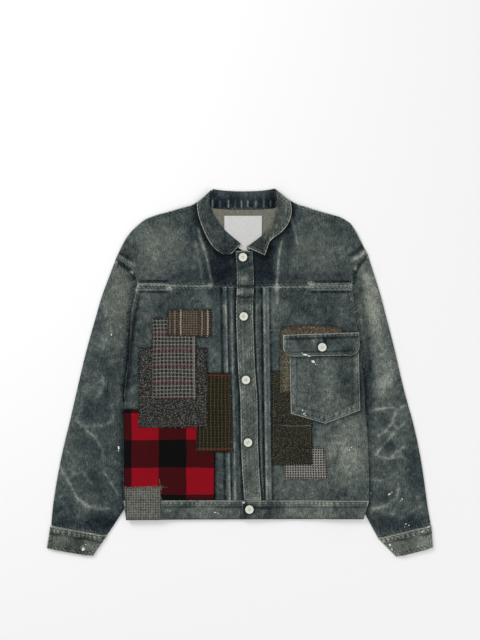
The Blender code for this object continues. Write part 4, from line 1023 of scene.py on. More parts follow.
def placket_painted_light_and_marks(x, y):
    """The placket is painted dark as shade in the buckle above the yoke seam, and pale as light on the bulges beside
    it.
    """
    across = (x - np.interp(y, [-262, -138, -5, 174, 250], [9, 2, -3, -6, -9])) / 34.5
    total = 0.22 * line_mark(y - 166, 5) - 0.42 * line_mark(y - 176.5, 3.2)
    total -= 0.36 * line_mark(y - 154 - 10 * (across - 0.5) ** 2, 3.0) + 0.16 * line_mark(y - 146, 6)
    total += 0.10 * line_mark(y - 136, 2.5) + 0.14 * line_mark(y - 194, 7) * line_mark(across - 0.45, 0.3)
    total -= 0.18 * line_mark(y - 211 - 12 * across, 4)
    # Soft dents and the pressed line down its free half, painted as light and shade
    total += 0.08 * np.sin(y / 13 + 1.2 * np.sin(y / 31)) * np.cos(4 * across + y / 47)
    total += 0.06 * line_mark(across - 0.30, 0.05) - 0.08 * line_mark(across - 0.40, 0.05)
    # Painted shadow around each button, and a pale line along its buttonhole
    for bx, by in BUTTON_PLACES:
        total -= 0.34 * np.exp(-(((x - bx - 2) / 12) ** 2 + ((y - by - 1) / 10.5) ** 2) ** 2)
        total += 0.42 * np.exp(-(((x - bx - 13) / 6) ** 2 + ((y - by) / 1.9) ** 2))
    return total


def band_marks(x, y):
    """The waistband's upper seam is ropy, with a dark line below it, and the rest is plain, but for painted shade at
    the join near the middle and around the lowest button.
    """
    down = WAIST_SEAM - y
    ticks = np.sin(x / 1.5 + 2.4 * np.sin(x / 13)) * (0.6 + 0.4 * np.sin(x / 23))
    total = 0.15 * ticks * line_mark(down - 7, 4) - 0.26 * line_mark(down - 13.5, 1.6)
    # Slow unevenness, and painted shade where the two front bands meet near the middle
    total += 0.12 * np.sin(x / 19 + 1.7) * np.sin(x / 41) - 0.26 * line_mark(x - 8, 9)
    total -= 0.16 * line_mark(down - 38, 3)
    # Painted shadow around the lowest button
    total -= 0.40 * np.exp(-(((x - 21) / 13) ** 2 + ((down - 18) / 12) ** 2) ** 2)
    total -= 0.30 * line_mark(down - 15 - 0.08 * (x - 30), 2.0) * step(20, 30, x) * step(72, 56, x)
    return total + 0.5 * line_mark(x - 5.5, 3) * line_mark(down - 3, 2.5)


def side_fold_free(x, y):
    """Seam marks only where a front is sewn: fully at the yoke and faintly at the upper armhole."""
    return 0.1 + 0.3 * step(40, 150, y) + 0.6 * step(164, 171, y)


def yoke_sewn(x, y):
    """Seam marks of a yoke: fully at its lower seam, faintly at the armhole."""
    return 1.0 - 0.65 * step(190, 212, np.abs(x - 7)) * step(179, 190, y)


def flap_marks(x, y):
    """The flap is ribbed along its top, dark beneath that, and creased above its button, with painted shadow around the
    button.
    """
    down = 80 + 0.03 * (x - 160) - y
    ticks = np.sin(x / 1.3 + 2 * np.sin(x / 11))
    total = 0.20 * ticks * np.exp(-((down - 4) / 3) ** 2) - 0.36 * np.exp(-((down - 9.5) / 2) ** 2)
    total += 0.34 * np.exp(-((x - 90) / 2.2) ** 2) + 0.12 * np.exp(-((down - 1.5) / 1.5) ** 2)
    total -= 0.20 * np.exp(-((down - 37) / 1.6) ** 2)
    total += 0.24 * np.exp(-((x - 167) / 1.6) ** 2) * step(54, 62, y)
    # Painted shadow around the button
    total -= 0.24 * np.exp(-(np.hypot(x - 167, y - 53) / 12) ** 4)
    total -= 0.26 * np.exp(-((x - 172 - 0.3 * (70 - y)) / 2.0) ** 2) * step(56, 62, y)
    total += 0.20 * np.exp(-((x - 152 + 0.35 * (y - 60)) / 1.4) ** 2) * step(50, 58, y) * step(72, 66, y)
    total += 0.30 * np.exp(-((x + y - 266) / 2) ** 2) * np.exp(-((y - 45) / 7) ** 2) * step(222, 226, x)
    return total + 0.09 * np.sin(x / 11 + 0.6) * np.sin(y / 9)


def pocket_marks(x, y):
    """The pocket's hems press through as ribs, ropy along its pointed bottom."""
    point = np.where(x < 177, -84 - 20 * (x - 104) / 73, -104 + 28 * (x - 177) / 69)
    above = y - point
    ticks = np.sin((x - 177) / 1.7 + 1.6 * np.sin(x / 12)) * np.sin((x - 100) / 9)
    total = 0.20 * ticks * np.exp(-((above - 10) / 5) ** 2) - 0.14 * np.exp(-((above - 19) / 2) ** 2)
    side = np.minimum(np.abs(x - 103), np.abs(x - 244))
    total += 0.10 * np.exp(-((side - 8) / 2.5) ** 2) - 0.14 * np.exp(-((side - 13) / 1.8) ** 2)
    total += 0.07 * np.sin((x - 104) / 9.5) * step(20, 60, above)
    return total - 0.10 * np.exp(-((x - 122) / 9) ** 2) * step(-70, -20, y)


class JACKET_OT_bands(bpy.types.Operator):
    """Make the placket and the waistbands."""

    bl_idname = "jacket.bands"
    bl_label = "Placket and waistbands"

    def execute(self, context):
        denim, inside = denim_material(), inside_material()
        small = sizes().patch_net
        placket = cloth("placket", [denim, inside], small, wall=1.6, relax=3, seam=0.62, warm=0.2,
                        rope=(7.0, 0.22, 4.0), rope_fade=0.08, lift=0.13, creases=[], marks=placket_painted_light_and_marks)
        stand_for(placket, "placket")
        cuts = {"waistband_back": (0.51, 0.042), "waistband_right": (0.262, 0.042),
                "waistband_left": (0.264, 0.042)}
        for node, flat in cuts.items():
            band = cloth(node, [denim, inside], small, wall=1.7, relax=4, seam=0.7, warm=0.15, creases=[],
                         rope=(8.0, 0.25, 6.0), rope_fade=0.05, lift=0.12, folds=lambda x, y: 0.0 * x,
                         marks=band_marks, seam_where=lambda x, y: step(-284, -270, y))
            stand_for(band, node)
        return {"FINISHED"}


def sleeve_folds(side):
    """The creases of one sleeve, as a function of place."""
    def folds(x, y):
        total = np.zeros(len(x))
        for line, width, height, _ in SLEEVE_FOLDS[side]:
            total += height * ridge(x, y, line, width)
        return total * sizes().relief
    return folds


def flattened_tree(nodes):
    """The plan of some solids, to measure how far a point lies outside them."""
    spots, faces = [], []
    for node in nodes:
        bm = merged_copy(node)
        base = len(spots)
        spots += [(v.co.x, v.co.y, 0) for v in bm.verts]
        faces += [[v.index + base for v in f.verts] for f in bm.faces if f.normal.z > 0.3]
        bm.free()
    return BVHTree.FromPolygons(spots, faces)


def outside(tree, points):
    """Distance in mm of each point from a plan, nothing inside it."""
    return np.array([tree.find_nearest(Vector((x, y, 0)))[3] for x, y in points * MM]) / MM


def tube(node, materials, spacing, ends, folds, over, **look):
    """Make a sleeve or cuff pressed flat: an upper and a lower wall that meet in two long folds."""
    skin = upper_skin(node)
    rim = soft_rim(rim_of(skin), spacing)
    points, faces, on_rim = net(rim, spacing)
    x, y = points.T
    z = relax(heights(skin, points), faces, on_rim, look.get("relax", 10))
    skin.free()
    closed = [tuple(p) for p in rim] + [tuple(rim[0])]
    edge, along, _ = line_distance(x, y, closed)
    open_end = np.full(len(x), 1e9)
    for line in ends:
        open_end = np.minimum(open_end, line_distance(x, y, line)[0])
    beyond = outside(over, points) if over else np.full(len(x), 99.0)
    clear = step(0, 14, beyond)
    z = z + (folds(x, y) + slow_waves(x, y)) * clear * step(0.5, 9, edge)
    z = np.maximum(z, 2.6)
    swell = np.sqrt(np.clip(1 - (1 - np.clip(edge / 3.2, 0, 1)) ** 2, 0, 1))
    swell = np.where(open_end < 1.2, np.maximum(swell, 0.92), swell)
    swell = np.where((open_end < 6) & (edge < 0.3) & (open_end < edge + 0.4), 0.92, swell)
    middle = 1.4
    upper = middle + (z - middle) * swell
    lower = middle - (middle - 0.05) * swell
    count = len(x)
    target = np.where((swell < 0.5) & on_rim, np.arange(count), np.arange(count) + count)
    faces = np.concatenate([faces, target[faces[:, ::-1]]])
    used = np.unique(faces)
    renumber = np.zeros(2 * count, int)
    renumber[used] = np.arange(len(used))
    both = np.concatenate([points, points])[used]
    made = make_object(node + "_cloth", both, np.concatenate([upper, lower])[used], renumber[faces], materials)
    fade, warm, white = washed(x, y, look.get("lift", 0.0), look.get("creases", BODY_FOLDS))
    fade += look.get("marks", lambda a, b: 0.0)(x, y)
    # Painted shade on the sleeve beside the body's edge, which lies over it
    if over:
        fade -= 0.20 * np.exp(-(beyond / 9) ** 2)
    under = washed(x, y, look.get("lift", 0.0) - 0.02, [])[0]
    seam_line = open_end if look.get("seam_ends", True) else edge
    seam = look.get("seam", 0.0) * step(22, 14, seam_line)
    rope = look.get("rope_fade", 0.0) * step(22, 14, seam_line)
    beside = np.where(open_end < edge + 20, open_end, edge) if look.get("seam_ends", True) else edge
    warm += look.get("warm", 0.0)
    twice = [np.concatenate([v, v])[used] for v in (warm, white, seam, rope, beside, along, calm(x, y))]
    paint_wash(made, (np.concatenate([fade, under])[used], twice[0], twice[1]),
               (twice[2], twice[3], twice[6]), twice[4], twice[5])
    wall_under(made, look.get("wall", sizes().wall))
    CLOTH[node] = {"rim": rim, "object": made, "tree": tree_of(points, upper, faces[:len(faces) // 2])}
    return made


class JACKET_OT_sleeves(bpy.types.Operator):
    """Make the sleeves and the cuffs."""

    bl_idname = "jacket.sleeves"
    bl_label = "Sleeves and cuffs"

    def execute(self, context):
        denim, inside = denim_material(), inside_material()
        cuff_lines = {
            "right": ([(-389, -315.5), (-273, -335.5)], [(-396, -360), (-301.5, -376.5)]),
            "left": ([(392.5, -314), (283, -340.5)], [(396, -359), (320, -378)]),
        }
        armholes = {
            "right": [(-253, 236), (-238, 225), (-221, 213), (-213, 198), (-210, 181), (-215, 158), (-222, 120),
                      (-225, 70), (-229, 20), (-232, -10)],
            "left": [(261, 243), (247, 232), (234, 219), (230, 198), (229, 177), (232, 155), (235, 108),
                     (242, 75), (247, 35), (251, -10)],
        }
        for side in SIDES:
            def cuff_marks(x, y, line=cuff_lines[side][0]):
                down, place, _ = line_distance(x, y, line)
                puckers = np.sin(place / 1.5 + 2 * np.sin(place / 12))
                groove = line_mark(down - 13 - np.sin(place / 7), 2.2) * (0.7 + 0.3 * np.sin(place / 9))
                return 0.20 * puckers * line_mark(down - 7, 4) - 0.40 * groove + 0.10 * np.sin(place / 13)

            over = flattened_tree(["front_" + side, "yoke_" + side, "back_panel", "waistband_back"])
            sleeve = tube("sleeve_" + side, [denim, inside], sizes().sleeve_net,
                          [armholes[side], cuff_lines[side][0]], sleeve_folds(side), over,
                          creases=SLEEVE_FOLDS[side], seam=0.34, rope_fade=0.10, lift=0.03 if side == "left" else 0.0)
            stand_for(sleeve, "sleeve_" + side)
            cuff = tube("cuff_" + side, [denim, inside], sizes().patch_net, list(cuff_lines[side]),
                        lambda x, y: 0.0 * x, None, seam=0.7, rope_fade=0.12, warm=0.3, relax=4, wall=1.4,
                        lift=0.19 if side == "left" else 0.07, creases=[], marks=cuff_marks,
                        seam_ends=False)
            stand_for(cuff, "cuff_" + side)
        return {"FINISHED"}


def collar_piece(node, denim, spacing):
    """A collar solid made smooth, with its crease lines kept, and with a finer net where one is asked."""
    bm = merged_copy(node)
    bmesh.ops.join_triangles(bm, faces=bm.faces, angle_face_threshold=0.8, angle_shape_threshold=3.1)
    crease = bm.edges.layers.float.new("crease_edge")
    for line in bm.edges:
        line[crease] = 0.55 if line.calc_face_angle(0.0) > math.radians(60) else 0.0
    for face in bm.faces:
        if len(face.verts) == 4 and face.calc_area() < 2.6e-5 and abs(face.normal.z) < 0.3:
            for line in face.edges:
                line[crease] = max(line[crease], 0.8)
    mesh = bpy.data.meshes.new(node + "_cloth")
    bm.to_mesh(mesh)
    bm.free()
    mesh.materials.append(denim)
    mesh.shade_smooth()
    made = bpy.data.objects.new(node + "_cloth", mesh)
    bpy.context.scene.collection.objects.link(made)
    rounded = made.modifiers.new("Soft", "SUBSURF")
    rounded.levels = rounded.render_levels = 3
    bpy.ops.object.select_all(action="DESELECT")
    made.select_set(True)
    bpy.context.view_layer.objects.active = made
    bpy.ops.object.modifier_apply(modifier=rounded.name)
    if spacing:
        bm = bmesh.new()
        bm.from_mesh(made.data)
        for _ in range(3):
            long = [line for line in bm.edges if line.calc_length() > spacing * MM]
            bmesh.ops.subdivide_edges(bm, edges=long, cuts=1)
            bmesh.ops.triangulate(bm, faces=bm.faces)
        bmesh.ops.dissolve_degenerate(bm, edges=bm.edges, dist=1e-5)
        bmesh.ops.triangulate(bm, faces=bm.faces)
        bm.to_mesh(made.data)
        bm.free()
    return made


class JACKET_OT_collar(bpy.types.Operator):
    """Make the collar: the back stand with its leaf beneath, and the two front leaves."""

    bl_idname = "jacket.collar"
    bl_label = "Collar"

    def execute(self, context):
        denim = denim_material()
        cuts = (("collar_back", (0.18, 0.115), 0.0185), ("collar_right", (0.145, 0.046), None),
                ("collar_left", (0.145, 0.046), None))
        for node, flat, area in cuts:
            rim = COLLAR_EDGE.get(node.replace("collar_", ""), [(-66, 334), (82, 334)])
            made = collar_piece(node, denim, 2.2 if node == "collar_back" else 0)
            spots = np.empty(len(made.data.vertices) * 3)
            made.data.vertices.foreach_get("co", spots)
            x, y, z = spots.reshape(-1, 3).T / MM
            edge, along, _ = line_distance(x, y, rim)
            if node == "collar_back":
                # The shrunken lining throws the stand into upright wrinkles
                wrinkles = np.sin(x / 2.3 + 0.9 * np.sin(x / 11)) * (0.84 + 0.16 * np.sin(x / 5))
                on_stand = step(334, 340, y) * step(1.4, 2.0, z)
                z = z + 0.5 * wrinkles * on_stand * step(371, 362, y)
                fade, warm, white = washed(x, y, -0.14, [])
                pale = np.maximum(wrinkles, 0) ** 2 * step(356, 350, y) * step(336, 340, y)
                fade += (0.72 * pale - 0.12 * step(360, 352, y)) * on_stand
                fade += 0.14 * step(356, 370, y) - 0.16 * line_mark(np.abs(x - 7) - 58, 12)
                fade += 0.30 * line_mark(y - 336.5, 1.4) * (0.4 + 0.6 * np.sin(x * 1.9))
                warm = 0.25 + 0.0 * warm
                seam = 0.2 + 0.0 * x
            else:
                z = z + body_folds(x, y) + slow_waves(x, y)
                fade, warm, white = washed(x, y, 0.0, [])
                fade = 0.45 + 0.5 * (fade - 0.50) + (0.12 if node == "collar_left" else 0.0)
                # Painted shade beside the neck label's edge
                fade -= painted_contact_shade(x, y, [("neck_label", 0.10, 4.0)])
                warm = 0.72 + 0.0 * warm if node == "collar_left" else 0.45 + 0.0 * warm
                fade -= 0.14 * np.exp(-(((x - 28) / 24) ** 2 + ((y - 268) / 14) ** 2))
                seam = 1.0 + 0.0 * x
            made.data.vertices.foreach_set("co", (np.stack([x, y, z], 1) * MM).ravel())
            made.data.update()
            paint_wash(made, (fade, warm, white), (seam, 0.10 + 0.0 * x, 0.3 + 0.0 * x), edge, along)
            stand_for(made, node)
            faces = np.array([list(p.vertices)[:3] for p in made.data.polygons]
                             + [[p.vertices[0], p.vertices[2], p.vertices[3]] for p in made.data.polygons
                                if len(p.vertices) == 4])
            CLOTH[node] = {"rim": rim, "object": made, "tree": tree_of(np.stack([x, y], 1), z, faces)}
        return {"FINISHED"}


class JACKET_OT_patches(bpy.types.Operator):
    """Make the wool and linen patches."""

    bl_idname = "jacket.patches"
    bl_label = "Patches"

    def execute(self, context):
        cuts = {
            "patch_red_plaid": (0.19, 0.19), "patch_brown_check": (0.077, 0.165),
            "patch_grey_tweed": (0.142, 0.166), "patch_houndstooth": (0.092, 0.168),
            "patch_striped_tweed": (0.092, 0.057), "patch_linen_check": (0.077, 0.069),
            "patch_open_check": (0.091, 0.067), "patch_charcoal_tweed": (0.085, 0.194),
            "patch_brown_tweed": (0.129, 0.135),
        }
        for node, flat in cuts.items():
            def pleat_below(x, y, node=node):
                side = "right" if node == "patch_brown_check" else "left"
                return 0.0 * x if node not in ("patch_brown_check",) else PLEAT_RISE * 0.6 * pleat(x, y, side)

            made = cloth(node, [patch_material(node)], sizes().patch_net, relax=2, roll=(1.2, 0.5), wall=1.0,
                         ragged=0.35)
            stand_for(made, node)
        return {"FINISHED"}


class JACKET_OT_pocket(bpy.types.Operator):
    """Make the chest pocket and its flap."""

    bl_idname = "jacket.pocket"
    bl_label = "Pocket"

    def execute(self, context):
        denim, inside = denim_material(), inside_material()
        # The flap casts painted shade on the pocket just below its edge
        pocket = cloth("pocket", [denim, inside], sizes().patch_net, relax=4, seam=0.66, warm=0.1,
                       rope=(7.0, 0.25, 6.0), rope_fade=0.05, lift=0.12, creases=[], marks=pocket_marks,
                       above=[("pocket_flap", 0.34, 4.0)])
        stand_for(pocket, "pocket")
        flap = cloth("pocket_flap", [denim, inside], sizes().patch_net, relax=3, seam=0.72, wall=1.6,
                     rope=(7.0, 0.25, 5.0), rope_fade=0.05, lift=0.06, creases=[], marks=flap_marks)
        stand_for(flap, "pocket_flap")
        return {"FINISHED"}


class JACKET_OT_label(bpy.types.Operator):
    """Make the bare label inside the neck."""

    bl_idname = "jacket.label"
    bl_label = "Label"

    def execute(self, context):
        cotton = plain_material("label_cotton_satin", colours().label, 0.8)
        made = cloth("neck_label", [cotton], sizes().patch_net, relax=2, wall=0.8, roll=(1.0, 0.4), waves=0.5,
                     folds=lambda x, y: 0.0 * x)
        stand_for(made, "neck_label")
        return {"FINISHED"}


def top_at(nodes, spots):
    """Height in mm of the uppermost of some cloth pieces at each place."""
    found = []
    for x, y in np.asarray(spots) * MM:
        best = -1.0
        for node in nodes:
            hit = CLOTH[node]["tree"].ray_cast(Vector((x, y, 0.2)), Vector((0, 0, -1)))[0]
            if hit is not None and hit.z > best:
                best = hit.z
        found.append(best)
    return np.array(found) / MM


BODY = ["front_right", "front_left", "yoke_right", "yoke_left", "placket", "waistband_right", "waistband_left",
        "sleeve_right", "sleeve_left", "cuff_right", "cuff_left", "pocket", "pocket_flap", "collar_right",
        "collar_left", "patch_red_plaid", "patch_brown_check", "patch_grey_tweed", "patch_houndstooth",
        "patch_striped_tweed", "patch_linen_check", "patch_open_check", "patch_charcoal_tweed",
        "patch_brown_tweed"]


def stitch_shape():
    """One stitch, modelled once: a plump bead of thread along Z, a few dozen faces."""
    bpy.ops.object.select_all(action="DESELECT")
    bpy.ops.mesh.primitive_uv_sphere_add(segments=6, ring_count=4, radius=1)
    bead = bpy.context.object
    spots = np.array([v.co for v in bead.data.vertices])
    spots[:, 2] = np.sign(spots[:, 2]) * np.abs(spots[:, 2]) ** 0.6
    faces = [list(p.vertices) for p in bead.data.polygons]
    bpy.data.objects.remove(bead, do_unlink=True)
    return spots, faces


def thread_object(name, stitches, radius, look):
    """All stitches of one thread as one object. Each is a start and an end in mm."""
    bead, bead_faces = stitch_shape()
    starts, ends = np.array([s[0] for s in stitches]), np.array([s[1] for s in stitches])
    along = ends - starts
    length = np.linalg.norm(along, axis=1, keepdims=True)
    along /= np.maximum(length, 1e-6)
    side = np.cross(along, (0, 0, 1))
    side /= np.maximum(np.linalg.norm(side, axis=1, keepdims=True), 1e-6)
    up = np.cross(side, along)
    middle = (starts + ends) / 2
    spots = (middle[:, None] + along[:, None] * (bead[None, :, 2:3] * length[:, None] / 2)
             + side[:, None] * bead[None, :, 0:1] * radius + up[:, None] * bead[None, :, 1:2] * radius)
    count = len(bead)
    faces = [[v + count * k for v in face] for k in range(len(stitches)) for face in bead_faces]
    mesh = bpy.data.meshes.new(name)
    mesh.from_pydata((spots.reshape(-1, 3) * MM).tolist(), [], faces)
    mesh.materials.append(look)
    mesh.shade_smooth()
    bm = bmesh.new()
    bm.from_mesh(mesh)
    bmesh.ops.recalc_face_normals(bm, faces=bm.faces)
    bm.to_mesh(mesh)
    bm.free()
    made = bpy.data.objects.new(name, mesh)
    bpy.context.scene.collection.objects.link(made)
    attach(made, "root")
    return made


def inset_rows(node, inset, keep=None):
    """Lines that follow a piece's rim at a distance inside it, where keep allows."""
    rim = CLOTH[node]["rim"]
    along = np.roll(rim, -1, 0) - np.roll(rim, 1, 0)
    inward = np.stack([-along[:, 1], along[:, 0]], 1)
    inward /= np.maximum(np.linalg.norm(inward, axis=1, keepdims=True), 1e-6)
    ring = rim + inward * inset
    closed = [tuple(p) for p in rim] + [tuple(rim[0])]
    good = line_distance(ring[:, 0], ring[:, 1], closed)[0] > inset * 0.93
    if keep:
        good &= keep(ring[:, 0], ring[:, 1])
    rows, row = [], []
    for spot, fine in zip(np.concatenate([ring, ring[:1]]), np.concatenate([good, good[:1]])):
        if fine:
            row.append(spot)
        elif row:
            rows.append(row)
            row = []
    if row:
        rows.append(row)
    return [np.array(r) for r in rows if len(r) > 2]


def running(rows, nodes, length=2.7, gap=0.9, height=0.12):
    """Running stitches along some lines, on the uppermost of some pieces."""
    stitches = []
    for row in rows:
        row = np.asarray(row, float)
        steps = np.concatenate([[0], np.cumsum(np.linalg.norm(np.diff(row, axis=0), axis=1))])
        count = int(steps[-1] / (length + gap))
        if count < 1:
            continue
        begin = np.arange(count) * (length + gap)
        spots = [np.stack([np.interp(t, steps, row[:, k]) for k in (0, 1)], 1) for t in (begin, begin + length)]
        tops = [top_at(nodes, s) + height for s in spots]
        for k in range(count):
            if min(tops[0][k], tops[1][k]) > 0:
                stitches.append(((*spots[0][k], tops[0][k]), (*spots[1][k], tops[1][k])))
    return stitches


def overcast(node, nodes, pitch, reach_in, reach_out, slant=0.6, keep=None, seed=1):
    """Hand stitches that wrap a patch's edge."""
    rng = np.random.default_rng(seed)
    rim = CLOTH[node]["rim"]
    closed = np.concatenate([rim, rim[:1]])
    steps = np.concatenate([[0], np.cumsum(np.linalg.norm(np.diff(closed, axis=0), axis=1))])
    places = np.arange(0, steps[-1] - pitch / 2, pitch) + rng.normal(0, pitch * 0.12, int((steps[-1] - pitch / 2) // pitch + 1))
    spots = np.stack([np.interp(places, steps, closed[:, k]) for k in (0, 1)], 1)
    ahead = np.stack([np.interp(places + 0.5, steps, closed[:, k]) for k in (0, 1)], 1)
    along = ahead - spots
    along /= np.maximum(np.linalg.norm(along, axis=1, keepdims=True), 1e-6)
    inward = np.stack([-along[:, 1], along[:, 0]], 1)
    inner = spots + inward * (reach_in + rng.normal(0, 0.3, (len(spots), 1))) + along * slant
    outer = spots - inward * reach_out - along * slant
    if keep:
        fine = keep(spots[:, 0], spots[:, 1])
        inner, outer = inner[fine], outer[fine]
    high, low = top_at(nodes, inner) + 0.15, top_at(nodes, outer) + 0.1
    return [((*a, za), (*b, zb)) for a, za, b, zb in zip(inner, high, outer, low) if min(za, zb) > 0]


def strand_object(name, strands, radius, look):
    """Loose threads as thin four-sided tubes. Each is a line of points in mm."""
    spots, faces = [], []
    for strand in strands:
        line = np.asarray(strand, float)
        ahead = np.gradient(line, axis=0)
        ahead /= np.maximum(np.linalg.norm(ahead, axis=1, keepdims=True), 1e-6)
        side = np.cross(ahead, (0, 0, 1))
        side /= np.maximum(np.linalg.norm(side, axis=1, keepdims=True), 1e-6)
        up = np.cross(side, ahead)
        base = len(spots)
        for k in range(len(line)):
            thin = radius * (1 - 0.45 * k / (len(line) - 1))
            for turn in range(4):
                angle = math.pi / 2 * turn
                spots.append(line[k] + side[k] * math.cos(angle) * thin + up[k] * math.sin(angle) * thin)
        for k in range(len(line) - 1):
            for turn in range(4):
                a, b = base + 4 * k + turn, base + 4 * k + (turn + 1) % 4
                faces.append([a, b, b + 4, a + 4])
        faces.append([base + turn for turn in (3, 2, 1, 0)])
        faces.append([base + 4 * (len(line) - 1) + turn for turn in range(4)])
    mesh = bpy.data.meshes.new(name)
    mesh.from_pydata((np.array(spots) * MM).tolist(), [], faces)
    mesh.materials.append(look)
    bm = bmesh.new()
    bm.from_mesh(mesh)
    bmesh.ops.recalc_face_normals(bm, faces=bm.faces)
    bm.to_mesh(mesh)
    bm.free()
    mesh.shade_smooth()
    made = bpy.data.objects.new(name, mesh)
    bpy.context.scene.collection.objects.link(made)
    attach(made, "root")
    return made


def fringe(node, count, length, seed, keep=None):
    """Threads that hang out of a raw edge."""
    rng = np.random.default_rng(seed)
    rim = CLOTH[node]["rim"]
    along = np.roll(rim, -1, 0) - np.roll(rim, 1, 0)
    outward = np.stack([along[:, 1], -along[:, 0]], 1)
    outward /= np.maximum(np.linalg.norm(outward, axis=1, keepdims=True), 1e-6)
    allowed = np.arange(len(rim)) if keep is None else np.flatnonzero(keep(rim[:, 0], rim[:, 1]))
    strands = []
    for k in rng.choice(allowed, count):
        reach = length * rng.uniform(0.4, 1.2)
        turn, bend = rng.normal(0, 0.5), rng.normal(0, 0.5)
        t = np.linspace(0, 1, 5)[:, None]
        angle = turn + bend * t
        way = np.concatenate([outward[k, 0] * np.cos(angle) - outward[k, 1] * np.sin(angle),
                              outward[k, 0] * np.sin(angle) + outward[k, 1] * np.cos(angle)], 1)
        line = rim[k] - outward[k] * 0.8 + way * reach * t
        strands.append((line, top_at(BODY, line)))
    return [np.column_stack([line, z + 0.25]) for line, z in strands if z.min() > 0]


def thread_material(name, code, roughness=0.8):
    """Spun cotton thread: a soft sheen and tiny turns that catch the light."""
    made, tree, shader = new_material(name)
    if tree is None:
        return made
    place = add(tree, "TexCoord").outputs["Object"]
    turns = add(tree, "TexNoise", {"Scale": 900, "Detail": 2}, {0: place})
    level = add(tree, "MapRange", {1: 0.3, 2: 0.7, 3: 0.7, 4: 1.25}, {0: turns.outputs[0]})
    tinted = add(tree, "Mix", {0: 1.0, 6: (*linear(code), 1)}, {7: level.outputs[0]}, data_type="RGBA",
                 blend_type="MULTIPLY")
    tree.links.new(tinted.outputs[2], shader.inputs["Base Color"])
    shader.inputs["Roughness"].default_value = roughness
    shader.inputs["Specular IOR Level"].default_value = 0.2
    return made


class JACKET_OT_topstitching(bpy.types.Operator):
    """Sew the denim's seams, pleats and buttonholes."""

    bl_idname = "jacket.topstitching"
    bl_label = "Topstitching"

    def execute(self, context):
        faded = thread_material("thread_faded_khaki", "#5c6058")
        dark = thread_material("thread_dark_navy", "#1a2126")
        rows = []
        for side in SIDES:
            out = -1 if side == "right" else 1
            rows += running(inset_rows("yoke_" + side, 2.0, lambda x, y: y < 186), BODY)
            rows += running(inset_rows("yoke_" + side, 2.2, lambda x, y, out=out: (y > 186) & (out * x > 205)), BODY)
            rows += running(inset_rows("front_" + side, 2.2, lambda x, y, out=out: (out * x > 208) & (y > -8)), BODY)
            rows += running(inset_rows("waistband_" + side, 2.2), BODY)
            rows += running(inset_rows("cuff_" + side, 2.4), BODY)
            rows += running([COLLAR_STITCH[side]], ["collar_" + side])
            for guide, shift in zip(pleat_guides(side), (1.8, -1.8)):
                rows += running([[(x + shift, y) for x, y in guide]], BODY)
        rows += running(inset_rows("placket", 2.4), BODY)
        rows += running(inset_rows("placket", 7.5, lambda x, y: y < 235), BODY, 2.7, 0.9)
        for inset in (2.0, 7.6):
            rows += running(inset_rows("pocket", inset, lambda x, y: y < 44), BODY)
            rows += running(inset_rows("pocket_flap", inset), BODY)
        made = thread_object("topstitching_thread", rows, 0.30, faded)
        bars = []
        for side in SIDES:
            (x0, y0), (x1, y1) = pleat_guides(side)[0]
            for y in (77, -28, -47, -141, -162):
                x = x0 + (x1 - x0) * (y0 - y) / (y0 - y1)
                for shift in (-0.7, 0.7):
                    bars += running([[(x - 1, y + shift), (x + PLEATS[side][2] + 1, y + shift)]], BODY, 1.8, 0.3)
        for side, (first, last) in TUCKS.items():
            for y in (182.6, 168.4):
                bars += running([[(first, y), (last, y)]], BODY, 2.4, 0.8)
        thread_object("bar_tacks", bars, 0.42, faded)
        holes = []
        slits = []
        for name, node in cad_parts.items():
            if not name.startswith("button_"):
                continue
            low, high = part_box(name)
            x, y = (low[0] + high[0]) / 2 / MM, (low[1] + high[1]) / 2 / MM
            upright = name == "button_flap"
            for k in range(15):
                t = -1 + 1.1 * k
                for way in (-1, 1):
                    a, b = (t, way * 0.35), (t, way * 1.9)
                    if upright:
                        a, b = a[::-1], b[::-1]
                    pair = np.array([(x + a[0], y + a[1]), (x + b[0], y + b[1])])
                    tops = top_at(BODY, pair)
                    if tops.min() > 0:
                        holes.append(((*pair[0], tops[0] + 0.3), (*pair[1], tops[1] + 0.1)))
            end = (x, y + 14.5) if upright else (x + 14.5, y)
            tops = top_at(BODY, [(x, y), end])
            slits.append(((x, y, tops[0] + 0.05), (*end, tops[1] + 0.05)))
        thread_object("buttonhole_thread", holes, 0.42, faded)
        thread_object("buttonhole_slits", slits, 0.5, dark)
        return {"FINISHED"}


